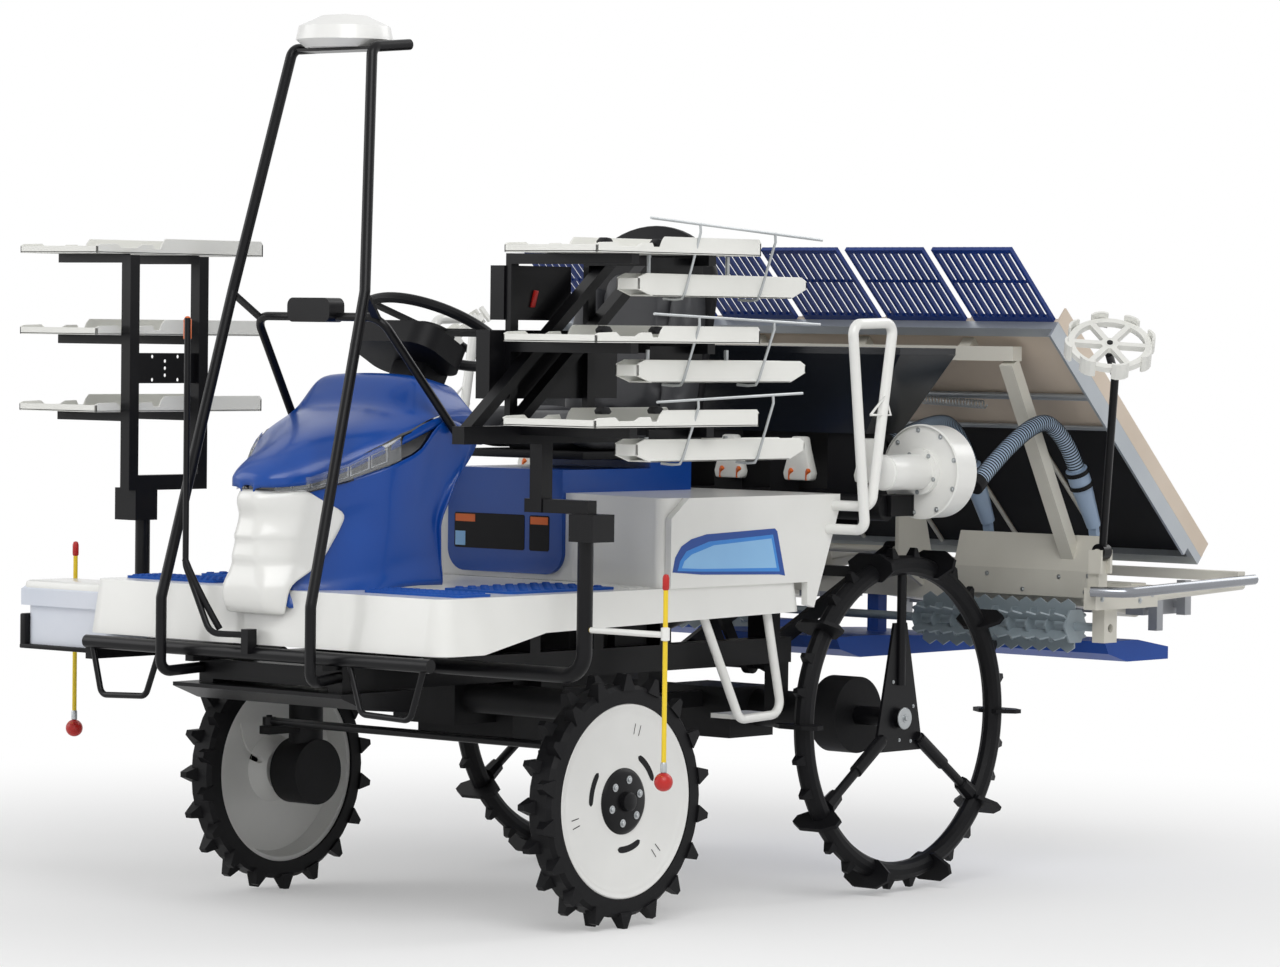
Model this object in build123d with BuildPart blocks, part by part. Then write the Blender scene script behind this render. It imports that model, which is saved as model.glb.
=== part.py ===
import os
from math import cos, radians, sin
from build123d import *

os.makedirs("parts", exist_ok=True)

# Driving dimensions in millimetres. "back" is the distance behind the front axle,
# x counts to the machine's left, z counts up from the ground.
front_axle_y = -780
wheelbase = 1170
front_tread = 1212
rear_tread = 1230
row_pitch = 300
rows = 6
clear = 0.3

# Wheels
front_tyre_r = 325
front_carcass_r = 297
front_rim_r = 250
front_tyre_w = 76
front_lugs = 18
disc_out = 20
disc_slot_r = 126
disc_slot_span = 50
rear_wheel_r = 475
rear_tube_mean_r = 418
rear_tube_r = 27
rear_paddles = 10
paddle_half = 74
paddle_thick = 11
kingpin_x = 500
steer_axle_r = 40
tie_back = -140
tie_z = 467
tie_pin_r = 8
drum_r = 88
drum_in = 452
drum_out = 548
stub_r = 30

# Chassis
rail_x = 230
rail_w = 50
rail_low = 610
rail_h = 70
rail_front = -640
rail_back = 1140
outriggers = (310, 580)
bumper_back = -700
bumper_z = 698
bumper_half = 613
bumper_r = 17

# Floor and cowling
floor_top = 860
floor_half = 640
floor_front = -690
floor_back = 740
floor_slot_half = 270
floor_slot_front = 245
deck_front = 160
floor_wall = 6
skirt_low = 720
cowl_half = 630
cowl_core_half = 230
cowl_front = 250
cowl_back = 885
hood_half = 205
hood_back = 590
hood_end = 760
deck_top = 1092
cowl_wall = 5
cover_top = 1172

# Bonnet
bonnet_half = 272
bonnet_nose = -735
bonnet_back = -200
bonnet_top = 1408
grille_half = 165
louvre_half = 105
visor_low = 1084
visor_h = 46

# Seat and controls
step_x = 600
seat_half = 235
wheel_centre_back = -45
wheel_centre_z = 1511
wheel_tilt = 28
steer_rim_r = 190
steer_rim_tube = 14

# Antenna frame
mast_r = 14
mast_top_z = 2232
mast_top_x = 141
mast_foot_x = 266
mast_foot_back = -766
dome_r = 125
dome_h = 88
dome_back = -392
mast_brace_x = 235

# Seedling racks
tray_long = 620
tray_wide = 300
tray_h = 42
left_tray_x = 735
left_tray_back = -585
right_tray_x = 790
right_tray_back = -510
tray_tops = (1752, 1535, 1330)
rack_covers = ((-490, -10, 1350, 1520), (-440, -190, 1545, 1680))
hung_tops = (1663, 1452, 1258)
hung_x = 920
hung_wide = 72
hung_back = -380
hung_long = 650
hung_deep = 56
post_x = 790
post_back = -335
post_r = 20
pole_x = 1052
plate_back = -277.5
plate_z = 1405.5
plate_pitch_y = 94
plate_pitch_z = 62
plate_hole_r = 5

# Fertiliser unit
hopper_half = 740
hopper_back = 985
hopper_deep = 245
hopper_top = 1465
hopper_low = 1250
hopper_wall = 5
meter_low = 1090
duct_r = 35
hose_r = 24
feed_routes = (
    (((450, 1290, 1208), (450, 1530, 1290), (416, 1684.3, 1242.4), (416, 1734.9, 1150.3)), 60),
    (((780, 1268, 1108), (780, 1530, 1306), (784, 1684.3, 1242.4), (784, 1734.9, 1150.3)), 60),
)
funnel_x = (-784, -416, 416, 784)
funnel_back = 1735
funnel_top = 1150
duct_z = 1052
duct_back = 1020
blower_x = 715
blower_r = 125
blower_back = 1120
blower_deep = 80
blower_z = 1150
meter_pitch = 200

# Lift linkage: two parallel pairs of arms
link_back = 1100
link_low_z = 600
link_gap = 220
link_long = 700
link_rise = 300
link_pin_r = 12
link_fit = 0.05
lower_arm_x = 140
upper_arm_x = 95
hitch_x = 175

# Planting unit
link_run = (link_long**2 - link_rise**2) ** 0.5
hitch_back = link_back + link_run
hitch_z = link_low_z + link_rise
cylinder_back = 820
cylinder_z = 705
horn_back = 1085
horn_z = 768
beam_back = 1850
beam_z = 800
beam_size = 70
beam_top = beam_z + beam_size / 2
top_beam_back = 1508.7
top_beam_z = 1469.3
stage_top_back = 1480
stage_top_z = 1558
stage_long = 967
stage_slope = 43.2
stage_half = row_pitch * rows / 2
stage_board = 12
divider_h = 40
grid_long = 280
rotor_back = 2250
rotor_z = 752
leveller_back = 1690
leveller_z = 716
leveller_r = 75
saw_teeth = 11
float_low = 610
float_h = 60
marker_x = 955
marker_back = 1625
marker_z = 930
star_x = 1190
star_back = 1312
star_z = 1497
star_r = 112
star_pads = 8
cup_outline = (
    (2, -24),
    (9, -13),
    (11, 0),
    (9, 13),
    (2, 24),
    (-4, 22),
    (2, 12),
    (4, 0),
    (2, -12),
    (-4, -22),
)


# Places and planes of the machine
def at(x, back, z):
    return Vector(x, front_axle_y + back, z)


def level(z):
    return Plane(origin=(0, front_axle_y, z))


def side(x):
    return Plane(origin=(x, front_axle_y, 0), x_dir=(0, 1, 0), z_dir=(1, 0, 0))


def across(back):
    return Plane(origin=(0, front_axle_y + back, 0), x_dir=(1, 0, 0), z_dir=(0, -1, 0))


cylinder_foot = at(0, cylinder_back, cylinder_z)
horn_rest = at(0, horn_back, horn_z)
slope = radians(stage_slope)
stage_normal = Vector(0, sin(slope), cos(slope))


# Outline of a rear paddle across the tube, from its root outwards
def paddle_outline(reach):
    return (
        (30, 0),
        (paddle_half, 0.4 * reach),
        (paddle_half, 0.72 * reach),
        (38, reach),
        (-38, reach),
        (-paddle_half, 0.72 * reach),
        (-paddle_half, 0.4 * reach),
        (-30, 0),
    )


# Saw edge of a leveller blade, from its inner end outwards
def saw_edge():
    points = []
    for i in range(saw_teeth):
        start = i * 528 / saw_teeth
        points += [(start, leveller_r - 44), (start + 264 / saw_teeth, leveller_r - 30)]
    return points + [(528, leveller_r - 44)]


# Tubes and bars, added to the part block that is open
def tube(points, bend, r):
    with BuildLine() as route:
        if len(points) == 2:
            Line(*points)
        else:
            FilletPolyline(*points, radius=bend)
    with BuildSketch(Plane(origin=route.line @ 0, z_dir=route.line % 0)) as section:
        Circle(r)
    sweep(sections=section.sketch, path=route.line)


def bar(start, end, wide, deep, x_dir=(1, 0, 0)):
    with BuildSketch(Plane(origin=start, x_dir=x_dir, z_dir=end - start)) as section:
        Rectangle(wide, deep)
    extrude(section.sketch, amount=(end - start).length)


def block(x0, x1, back0, back1, z0, z1):
    with BuildSketch(level(z0)) as section:
        with Locations(((x0 + x1) / 2, (back0 + back1) / 2)):
            Rectangle(x1 - x0, back1 - back0)
    extrude(section.sketch, amount=z1 - z0)


def pin(x0, x1, back, z, r, mode=Mode.ADD):
    with BuildSketch(side(x0)) as section:
        with Locations((back, z)):
            Circle(r)
    extrude(section.sketch, amount=x1 - x0, mode=mode)


def save(piece, node):
    piece.part.label = node
    export_step(piece.part, f"parts/{node}.step")


# Main frame: two rails, cross members, floor posts and the lift bracket
with BuildPart() as main_frame:
    for s in (-1, 1):
        x_in, x_out = sorted((s * (rail_x - rail_w / 2), s * (rail_x + rail_w / 2)))
        block(x_in, x_out, rail_front, rail_back, rail_low, rail_low + rail_h)
        for back in (-520, -180, 60):
            block(x_in, x_out, back, back + 40, rail_low + rail_h, floor_top - floor_wall)
    for s in (-1, 1):
        for back in outriggers:
            x_in, x_out = sorted((s * (rail_x - rail_w / 2), s * (rail_x + rail_w / 2)))
            block(x_in, x_out, back, back + 40, rail_low + rail_h, floor_top - floor_wall)
            x_in, x_out = sorted((s * rail_x, s * (cowl_half - 21)))
            block(x_in, x_out, back, back + 40, floor_top - 40, floor_top - floor_wall)
    for back in (rail_front, -60, 380, 760):
        block(-rail_x, rail_x, back, back + 50, rail_low + 10, rail_low + rail_h - 10)
    for s in (-1, 1):
        with BuildSketch(side(s * (hitch_x + 12))) as cheek:
            with BuildLine():
                Polyline(
                    (link_back - 60, rail_low),
                    (link_back + 40, link_low_z - 30),
                    (link_back + 40, link_low_z + link_gap + 40),
                    (link_back - 60, link_low_z + link_gap + 40),
                    close=True,
                )
            make_face()
        extrude(cheek.sketch, amount=6, both=True)
    pin(-hitch_x - 16, hitch_x + 16, link_back, link_low_z, link_pin_r)
    pin(-hitch_x - 16, hitch_x + 16, link_back, link_low_z + link_gap, link_pin_r)
    pin(-50, 50, cylinder_back, cylinder_z, link_pin_r)
    for x in (-41, 41):
        block(x - 8, x + 8, cylinder_back - 40, cylinder_back + 20, rail_low + 40, cylinder_z + 20)
    for s in (-1, 1):
        x_in, x_out = sorted((s * (hitch_x + 18), s * (rail_x + rail_w / 2)))
        block(x_in, x_out, link_back - 60, link_back - 10, rail_low + rail_h, duct_z - 60)
    block(-560, 560, link_back - 60, link_back - 10, duct_z - 60, duct_z - 36)
save(main_frame, "main_frame")

# Engine, closed in under the seat
with BuildPart() as engine:
    block(-200, 200, 275, 620, rail_low + rail_h - 10 + clear, 1060)
    block(-225, 225, 430, 560, rail_low + rail_h + clear, 740)
save(engine, "engine")

# Front axle: cross case with the two king pin sleeves, the gearbox and the drive shaft
with BuildPart() as front_axle:
    pin(-kingpin_x + 40, kingpin_x - 40, 0, 560, steer_axle_r)
    for s in (-1, 1):
        with BuildSketch(level(520)) as sleeve:
            with Locations((s * kingpin_x, 0)):
                Circle(58)
        extrude(sleeve.sketch, amount=90)
    block(-110, 110, -70, 90, 490, rail_low - clear)
    block(-170, 170, 90, 560, 430, rail_low - clear)
    block(-215, 215, 150, 210, 560, rail_low - clear)
    bar(at(0, 560, 500), at(0, wheelbase - 130 - clear, 500), 44, 44)
save(front_axle, "front_axle")

# Rear axle: centre case with tapered side cases carrying the stub axles
with BuildPart() as rear_axle:
    pin(-400, 400, wheelbase, rear_wheel_r, 52)
    block(-120, 120, wheelbase - 130, wheelbase + 60, rear_wheel_r - 80, rear_wheel_r + 60)
    for s in (-1, 1):
        x_in, x_out = sorted((s * 380, s * 470))
        pin(x_in, x_out, wheelbase, rear_wheel_r, 105)
        x_in, x_out = sorted((s * (rail_x - 20), s * (rail_x + 20)))
        block(x_in, x_out, rail_back - 60, rail_back - 5, rear_wheel_r, rail_low - clear)
save(rear_axle, "rear_axle")

# Front bumper with its two foot loops, the aiming rod and the tank's shelf
with BuildPart() as bumper:
    pin(-bumper_half, bumper_half, bumper_back, bumper_z, bumper_r)
    for s in (-1, 1):
        tube(
            [
                at(s * 335, bumper_back, bumper_z),
                at(s * 385, bumper_back - 5, 568),
                at(s * 550, bumper_back - 5, 562),
                at(s * 592, bumper_back, bumper_z),
            ],
            25,
            8,
        )
        x_in, x_out = sorted((s * (rail_x - 15), s * (rail_x + 15)))
        block(x_in, x_out, bumper_back, rail_front, rail_low + 56, bumper_z)
    tube(
        [
            at(0, bumper_back - 20, 745),
            at(-110, -745, 745),
            at(-185, -760, 915),
            at(-235, -712, 1540),
        ],
        40,
        8,
    )
    block(-12, 12, bumper_back - 32, bumper_back, bumper_z, 760)
    block(-1010, -bumper_half + 20, -520, -450, 652, 659.7)
    block(-bumper_half - 4, -bumper_half + 20, bumper_back, -450, 652, bumper_z)
save(bumper, "bumper")

# Skid guard under the nose
with BuildPart() as skid_guard:
    with BuildSketch(side(-300)) as shell:
        with BuildLine():
            Polyline(
                (-690, 600),
                (-600, 566),
                (-430, 552),
                (-420, rail_low - clear),
                (-690, rail_low - clear),
                close=True,
            )
        make_face()
    extrude(shell.sketch, amount=600)
save(skid_guard, "skid_guard")

# Step floor: a tray with turned down skirts, open round the engine
with BuildPart() as floor:
    with BuildSketch(level(skirt_low)) as outline:
        with Locations((0, (floor_front + floor_back) / 2)):
            RectangleRounded(2 * floor_half, floor_back - floor_front, 60)
    extrude(outline.sketch, amount=floor_top - skirt_low, taper=8)
    offset(amount=-floor_wall, openings=floor.faces().sort_by(Axis.Z)[0])
    with BuildSketch(side(-floor_half - 5)) as skirt_cut:
        with BuildLine():
            Polyline(
                (-560, skirt_low - 5),
                (-300, 766),
                (floor_back + 5, 784),
                (floor_back + 5, skirt_low - 5),
                close=True,
            )
        make_face()
    extrude(skirt_cut.sketch, amount=2 * floor_half + 10, mode=Mode.SUBTRACT)
    with BuildSketch(level(floor_top - 20)) as slot:
        with Locations((0, (floor_slot_front + floor_back + 20) / 2)):
            Rectangle(2 * floor_slot_half, floor_back + 20 - floor_slot_front)
    extrude(slot.sketch, amount=30, mode=Mode.SUBTRACT)
save(floor, "floor")

# Blue step pads on the floor
with BuildPart() as floor_pads:
    for s in (-1, 1):
        with BuildSketch(level(floor_top)) as pad:
            with Locations((s * 430, -520)):
                RectangleRounded(330, 130, 20)
            with Locations((s * 440, -150)):
                RectangleRounded(240, 400, 20)
        extrude(pad.sketch, amount=6)
save(floor_pads, "floor_pads")

# White rear cowling: seat console and the two fender decks, open below
with BuildPart() as rear_cowl:
    with BuildSketch(level(floor_top + clear)) as plan:
        with BuildLine():
            Polyline(
                (-cowl_core_half, cowl_front),
                (cowl_core_half, cowl_front),
                (cowl_half - 20, deck_front),
                (cowl_half - 20, cowl_back),
                (-cowl_half + 20, cowl_back),
                (-cowl_half + 20, deck_front),
                close=True,
            )
        make_face()
        fillet(plan.vertices(), 25)
    extrude(plan.sketch, amount=deck_top - floor_top - clear)
    offset(amount=-cowl_wall, openings=rear_cowl.faces().sort_by(Axis.Z)[0])
    with BuildSketch(side(-cowl_half)) as corner:
        with BuildLine():
            Polyline((cowl_back + 20, 800), (cowl_back + 20, 1070), (cowl_back - 100, 800), close=True)
        make_face()
    extrude(corner.sketch, amount=2 * cowl_half, mode=Mode.SUBTRACT)
save(rear_cowl, "rear_cowl")

# Lower side panels below the decks
with BuildPart() as side_panels:
    for s in (-1, 1):
        x_in, x_out = sorted((s * (cowl_half - 20 + clear), s * cowl_half))
        with BuildSketch(side(x_in)) as panel:
            with BuildLine():
                Polyline(
                    (deck_front + 20, floor_top + clear),
                    (floor_back + clear, floor_top + clear),
                    (floor_back + clear, 800),
                    (770, 792),
                    (cowl_back - 10, 1060),
                    (cowl_back - 10, deck_top),
                    (deck_front + 90, deck_top),
                    (deck_front + 20, 1040),
                    close=True,
                )
            make_face()
        extrude(panel.sketch, amount=x_out - x_in)
save(side_panels, "side_panels")

# Blue engine cover: the panel on the console's front and the hood under the seat
with BuildPart() as engine_cover:
    with BuildSketch(across(cowl_front)) as face:
        with Locations((0, (875 + deck_top) / 2)):
            Rectangle(2 * hood_half, deck_top - 875)
        fillet(face.vertices().group_by(Axis.Y)[0], 60)
    extrude(face.sketch, amount=14)
    block(-hood_half, hood_half, cowl_front - 14, hood_back, deck_top, cover_top - 20)
    block(-hood_half, hood_half, hood_back, hood_end, deck_top, cover_top)
save(engine_cover, "engine_cover")

# Seat
with BuildPart() as seat_cushion:
    block(-seat_half, seat_half, 300, 735, cover_top, cover_top + 95)
    fillet(seat_cushion.edges().filter_by(Axis.Z), 50)
    fillet(seat_cushion.faces().sort_by(Axis.Z)[-1].edges(), 22)
save(seat_cushion, "seat_cushion")

with BuildPart() as seat_back:
    with BuildSketch(side(-seat_half)) as profile:
        with BuildLine():
            Polyline(
                (736, cover_top + clear),
                (800, cover_top + clear),
                (850, 1685),
                (785, 1685),
                close=True,
            )
        make_face()
    extrude(profile.sketch, amount=2 * seat_half)
    fillet(seat_back.edges().filter_by(Axis.X), 12)
save(seat_back, "seat_back")

# Bonnet: one form, cut from its side, front and plan outlines, then parted
with BuildPart() as bonnet_form:
    with BuildSketch(side(-bonnet_half)) as from_side:
        with BuildLine():
            Polyline(
                (bonnet_nose + 60, floor_top + 0.3),
                (bonnet_nose + 10, 960),
                (bonnet_nose, visor_low),
                (bonnet_nose + 25, visor_low + visor_h),
                (-560, 1204),
                (-400, 1330),
                (-278, bonnet_top),
                (-150, 1385),
                (bonnet_back, 1230),
                (bonnet_back - 90, 960),
                (bonnet_back - 60, floor_top + 0.3),
                close=True,
            )
        make_face()
        fillet(from_side.vertices().filter_by_position(Axis.Y, 1100, 1500), 40)
    extrude(from_side.sketch, amount=2 * bonnet_half)
    with BuildSketch(across(-100)) as from_front:
        with BuildLine():
            Polyline(
                (-185, floor_top),
                (-bonnet_half + 30, 960),
                (-bonnet_half, 1250),
                (-190, bonnet_top + 5),
                (190, bonnet_top + 5),
                (bonnet_half, 1250),
                (bonnet_half - 30, 960),
                (185, floor_top),
                close=True,
            )
        make_face()
        fillet(from_front.vertices().group_by(Axis.Y)[-1], 85)
        fillet(from_front.vertices().filter_by_position(Axis.Y, 1200, 1300), 60)
        fillet(from_front.vertices().group_by(Axis.Y)[0], 35)
    extrude(from_front.sketch, amount=700, mode=Mode.INTERSECT)
    with BuildSketch(level(floor_top)) as from_top:
        with BuildLine():
            Polyline(
                (-grille_half, bonnet_nose),
                (grille_half, bonnet_nose),
                (bonnet_half, -480),
                (bonnet_half, -100),
                (-bonnet_half, -100),
                (-bonnet_half, -480),
                close=True,
            )
        make_face()
        fillet(from_top.vertices().group_by(Axis.Y)[0], 50)
    extrude(from_top.sketch, amount=600, mode=Mode.INTERSECT)

with BuildPart() as grille_zone:
    block(-grille_half, grille_half, bonnet_nose - 10, bonnet_nose + 90, floor_top - 20, visor_low)

with BuildPart() as visor_zone:
    with BuildSketch(side(-bonnet_half - 10)) as band:
        with BuildLine():
            Polyline(
                (bonnet_nose - 20, visor_low),
                (bonnet_nose + 120, visor_low),
                (bonnet_nose + 300, visor_low + 110),
                (bonnet_nose + 300, visor_low + 160),
                (bonnet_nose + 120, visor_low + visor_h + 24),
                (bonnet_nose - 20, visor_low + visor_h),
                close=True,
            )
        make_face()
    extrude(band.sketch, amount=2 * bonnet_half + 20)
    with BuildSketch(level(visor_low - 10)) as core:
        with BuildLine():
            Polyline(
                (-grille_half, bonnet_nose + 25),
                (grille_half, bonnet_nose + 25),
                (bonnet_half - 25, -480),
                (bonnet_half - 25, -300),
                (-bonnet_half + 25, -300),
                (-bonnet_half + 25, -480),
                close=True,
            )
        make_face()
    extrude(core.sketch, amount=300, mode=Mode.SUBTRACT)

with BuildPart() as grille:
    add(bonnet_form.part)
    add(grille_zone.part, mode=Mode.INTERSECT)
    for z in (912, 966, 1020):
        with BuildSketch(side(-louvre_half)) as groove:
            with BuildLine():
                Polyline(
                    (bonnet_nose - 20, z),
                    (bonnet_nose + 26, z + 8),
                    (bonnet_nose - 20, z + 34),
                    close=True,
                )
            make_face()
        extrude(groove.sketch, amount=2 * louvre_half, mode=Mode.SUBTRACT)
save(grille, "grille")

with BuildPart() as visor:
    add(bonnet_form.part)
    add(visor_zone.part, mode=Mode.INTERSECT)
save(visor, "visor")

with BuildPart() as bonnet:
    add(bonnet_form.part)
    add(grille_zone.part, mode=Mode.SUBTRACT)
    add(visor_zone.part, mode=Mode.SUBTRACT)
save(bonnet, "bonnet")

# Dash pod and steering column behind the bonnet
tilt = radians(wheel_tilt)
column_dir = Vector(0, sin(tilt), cos(tilt))
wheel_centre = at(0, wheel_centre_back, wheel_centre_z)
wheel_plane = Plane(origin=wheel_centre, x_dir=(1, 0, 0), z_dir=column_dir)
with BuildPart() as dash:
    with BuildSketch(wheel_plane.offset(-300)) as column:
        RectangleRounded(120, 120, 30)
    extrude(column.sketch, amount=200)
    with BuildSketch(wheel_plane.offset(-115)) as pod:
        with Locations((0, -70)):
            RectangleRounded(290, 190, 60)
        Circle(27, mode=Mode.SUBTRACT)
    extrude(pod.sketch, amount=62)
    add(bonnet_form.part, mode=Mode.SUBTRACT)
save(dash, "dash")

with BuildPart() as steering_wheel:
    with BuildSketch(wheel_plane.offset(-100 + clear)) as hub:
        Circle(22)
    extrude(hub.sketch, amount=105)
    with BuildSketch(wheel_plane.offset(-4)) as spokes:
        for turn in (0, 120, 240):
            with Locations(Location((0, 0), turn)):
                with Locations((steer_rim_r / 2, 0)):
                    Rectangle(steer_rim_r - 4, 30)
        Circle(55)
    extrude(spokes.sketch, amount=8)
    rim_plane = Plane(origin=wheel_centre, x_dir=(1, 0, 0), z_dir=(0, -cos(tilt), sin(tilt)))
    with BuildSketch(rim_plane) as rim:
        with Locations((steer_rim_r, 0)):
            RegularPolygon(steer_rim_tube, 10)
    revolve(rim.sketch, axis=Axis(wheel_centre, column_dir))
save(steering_wheel, "steering_wheel")

# Antenna frame: two tall tubes from the frame rails and the hoop on the bonnet with its lamp
with BuildPart() as antenna_frame:
    for s in (-1, 1):
        tube(
            [
                at(s * (rail_x + 14), rail_front - 3, rail_low + 38),
                at(s * mast_foot_x, mast_foot_back, rail_low + 30),
                at(s * mast_foot_x, mast_foot_back, 830),
                at(s * mast_brace_x, -552, 1612),
                at(s * mast_top_x, -437, mast_top_z),
                at(s * mast_top_x, -300, mast_top_z + 12),
            ],
            28,
            mast_r,
        )
    block(-mast_top_x, mast_top_x, dome_back - 45, dome_back + 45, mast_top_z - 6, mast_top_z + 2)
    for s in (-1, 1):
        bar(at(s * mast_brace_x, -552, 1606), at(s * 206, -472, 1538), 24, 8)
    tube(
        [
            at(-bonnet_half - 12, -262, 1255),
            at(-220, -480, 1548),
            at(220, -480, 1548),
            at(bonnet_half + 12, -262, 1255),
        ],
        50,
        11,
    )
    with BuildSketch(across(-460)) as lamp:
        with Locations((0, 1565)):
            RectangleRounded(150, 62, 20)
    extrude(lamp.sketch, amount=55)
save(antenna_frame, "antenna_frame")

with BuildPart() as antenna_dome:
    with BuildSketch(across(dome_back)) as profile:
        with BuildLine():
            low = mast_top_z + 2
            Polyline((0, low), (dome_r - 25, low), (dome_r, low + 20), (dome_r - 8, low + 55))
            Line((dome_r - 8, low + 55), (60, low + dome_h - 6))
            Line((60, low + dome_h - 6), (0, low + dome_h))
            Line((0, low + dome_h), (0, low))
        make_face()
    revolve(profile.sketch, axis=Axis(at(0, dome_back, 0), (0, 0, 1)))
save(antenna_dome, "antenna_dome")



# One white tray, open on top
def tray(x0, x1, back0, back1, top, deep=tray_h):
    with BuildPart(mode=Mode.PRIVATE) as pan:
        block(x0, x1, back0, back1, top - deep, top)
        offset(amount=-4, openings=pan.faces().sort_by(Axis.Z)[-1])
    add(pan.part)


with BuildPart() as seedling_trays:
    for s, x0, back0 in ((1, left_tray_x, left_tray_back), (-1, right_tray_x, right_tray_back)):
        for top in tray_tops:
            x_in, x_out = sorted((s * x0, s * (x0 + tray_wide)))
            tray(x_in, x_out, back0, back0 + tray_long, top)
    for top in hung_tops:
        tray(hung_x, hung_x + hung_wide, hung_back, hung_back + hung_long, top, hung_deep)
save(seedling_trays, "seedling_trays")

# Left rack: post, base beam, and the two slanted arms that carry the tiers
with BuildPart() as rack_left:
    tube(
        [
            at(rail_x + rail_w / 2 + clear, post_back, 667),
            at(post_x, post_back, 667),
            at(post_x, post_back, 1050),
        ],
        60,
        post_r,
    )
    bar(at(post_x + 20, post_back, 1085), at(600, post_back, 1085), 34, 34, (0, 1, 0))
    block(post_x - 30, post_x + 50, post_back - 30, post_back + 50, 1000, 1068)
    bar(at(640, post_back, 1068), at(640, post_back, 1256), 40, 40)
    bar(at(640, -640, 1262), at(640, 10, 1262), 40, 44)
    for shift in (0, 150):
        bar(at(640, -610 + shift, 1270), at(640, -75 + shift, 1705), 36, 26)
    for top in tray_tops:
        low = top - tray_h - clear
        bar(at(622, -420, low - 13), at(left_tray_x + 280, -420, low - 13), 28, 26, (0, 1, 0))
        bar(at(622, -130, low - 13), at(left_tray_x + 280, -130, low - 13), 28, 26, (0, 1, 0))
    for back in (-420, -130):
        block(604, 622, back - 14, back + 14, 1284, 1710)
    for top, hung_top in zip(tray_tops, hung_tops):
        web_x = hung_x + hung_wide / 2
        low = hung_top - hung_deep + 4 + clear
        block(web_x - 5, web_x + 5, -300, -100, low, top - tray_h - 8)
    for back0, back1, z0, z1 in rack_covers:
        block(558, 604 - clear, back0, back1, z0, z1)
save(rack_left, "rack_left")

with BuildPart() as rack_right:
    tube(
        [
            at(-rail_x - rail_w / 2 - clear, post_back, 667),
            at(-post_x, post_back, 667),
            at(-post_x, post_back, 1050),
        ],
        60,
        post_r,
    )
    block(-post_x - 45, -post_x + 35, post_back - 60, post_back + 20, 1000, 1086)
    for back in (-405, -150):
        bar(at(-post_x + 20, back, 1086), at(-post_x + 20, back, 1706), 34, 34)
    bar(at(-post_x + 20, -422, 1100), at(-post_x + 20, -133, 1100), 34, 40)
    for top in tray_tops:
        low = top - tray_h - clear
        for back in (-405, -150):
            bar(at(-post_x + 5, back, low - 12), at(-post_x - 250, back, low - 12), 24, 24, (0, 1, 0))
    with BuildSketch(side(-post_x + 18.5)) as plate:
        with Locations((plate_back, plate_z)):
            Rectangle(221, 81)
            with GridLocations(plate_pitch_y, plate_pitch_z, 2, 2):
                Circle(plate_hole_r, mode=Mode.SUBTRACT)
            with GridLocations(1, 19, 1, 3):
                Circle(plate_hole_r, mode=Mode.SUBTRACT)
    extrude(plate.sketch, amount=3)
save(rack_right, "rack_right")

# Handrails on the deck corners and the side steps under them
with BuildPart() as handrails:
    for s in (-1, 1):
        x = s * 755
        tube(
            [
                at(s * (cowl_half + clear), 825, 1000),
                at(x, 825, 1000),
                at(x, 760, 1545),
                at(x, 935, 1550),
                at(x, 850, 1062),
                at(s * (cowl_half + clear), 850, 1062),
            ],
            28,
            14,
        )
save(handrails, "handrails")

with BuildPart() as side_steps:
    for s in (-1, 1):
        x = s * step_x
        tube(
            [at(x, 330, 813.9), at(x, 500, 505), at(x, 675, 512), at(x, 600, 816.8)],
            35,
            12,
        )
        block(min(x, x - s * 110), max(x, x - s * 110), 515, 660, 503, 515)
save(side_steps, "side_steps")

# Fertiliser hopper: a thin open box with sloped ends, and its lid
with BuildPart() as hopper:
    with BuildSketch(level(hopper_top)) as mouth:
        with Locations((0, hopper_back + hopper_deep / 2)):
            Rectangle(2 * hopper_half, hopper_deep)
    with BuildSketch(level(hopper_low)) as floor_face:
        with Locations((0, hopper_back + hopper_deep / 2)):
            Rectangle(2 * hopper_half - 300, hopper_deep - 90)
    loft(sections=[mouth.sketch, floor_face.sketch])
    offset(amount=-hopper_wall, openings=hopper.faces().sort_by(Axis.Z)[-1])
save(hopper, "hopper")

with BuildPart() as hopper_lid:
    block(
        -hopper_half,
        hopper_half,
        hopper_back,
        hopper_back + hopper_deep,
        hopper_top + clear,
        hopper_top + 18,
    )
save(hopper_lid, "hopper_lid")

with BuildPart() as metering_units:
    for i in range(rows):
        x = (i - (rows - 1) / 2) * meter_pitch
        block(x - 50, x + 50, hopper_back + 60, hopper_back + 190, meter_low, hopper_low)
    tube([at(450, hopper_back + 185, 1167), at(450, 1281, 1205)], 0, 22)
save(metering_units, "metering_units")

with BuildPart() as air_duct:
    pin(-600, blower_x - 40, duct_back, duct_z, duct_r)
    block(-560, 560, duct_back + 25, duct_back + 160, duct_z - 36, meter_low)
    block(blower_x - 95, blower_x - 25, duct_back, blower_back - clear, duct_z - 22, duct_z + duct_r)
save(air_duct, "air_duct")

with BuildPart() as blower:
    with BuildSketch(across(blower_back + blower_deep)) as scroll:
        with Locations((blower_x, blower_z)):
            Circle(blower_r)
    extrude(scroll.sketch, amount=blower_deep)
    with BuildSketch(across(blower_back)) as motor:
        with Locations((blower_x, blower_z)):
            Circle(48)
    extrude(motor.sketch, amount=170)
    with BuildSketch(across(blower_back)) as cover:
        with Locations((blower_x, blower_z)):
            Circle(62)
    extrude(cover.sketch, amount=16)
    with BuildSketch(across(blower_back + blower_deep + 40)) as bell:
        with Locations((blower_x, blower_z)):
            Circle(84)
    extrude(bell.sketch, amount=40)
save(blower, "blower")

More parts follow.
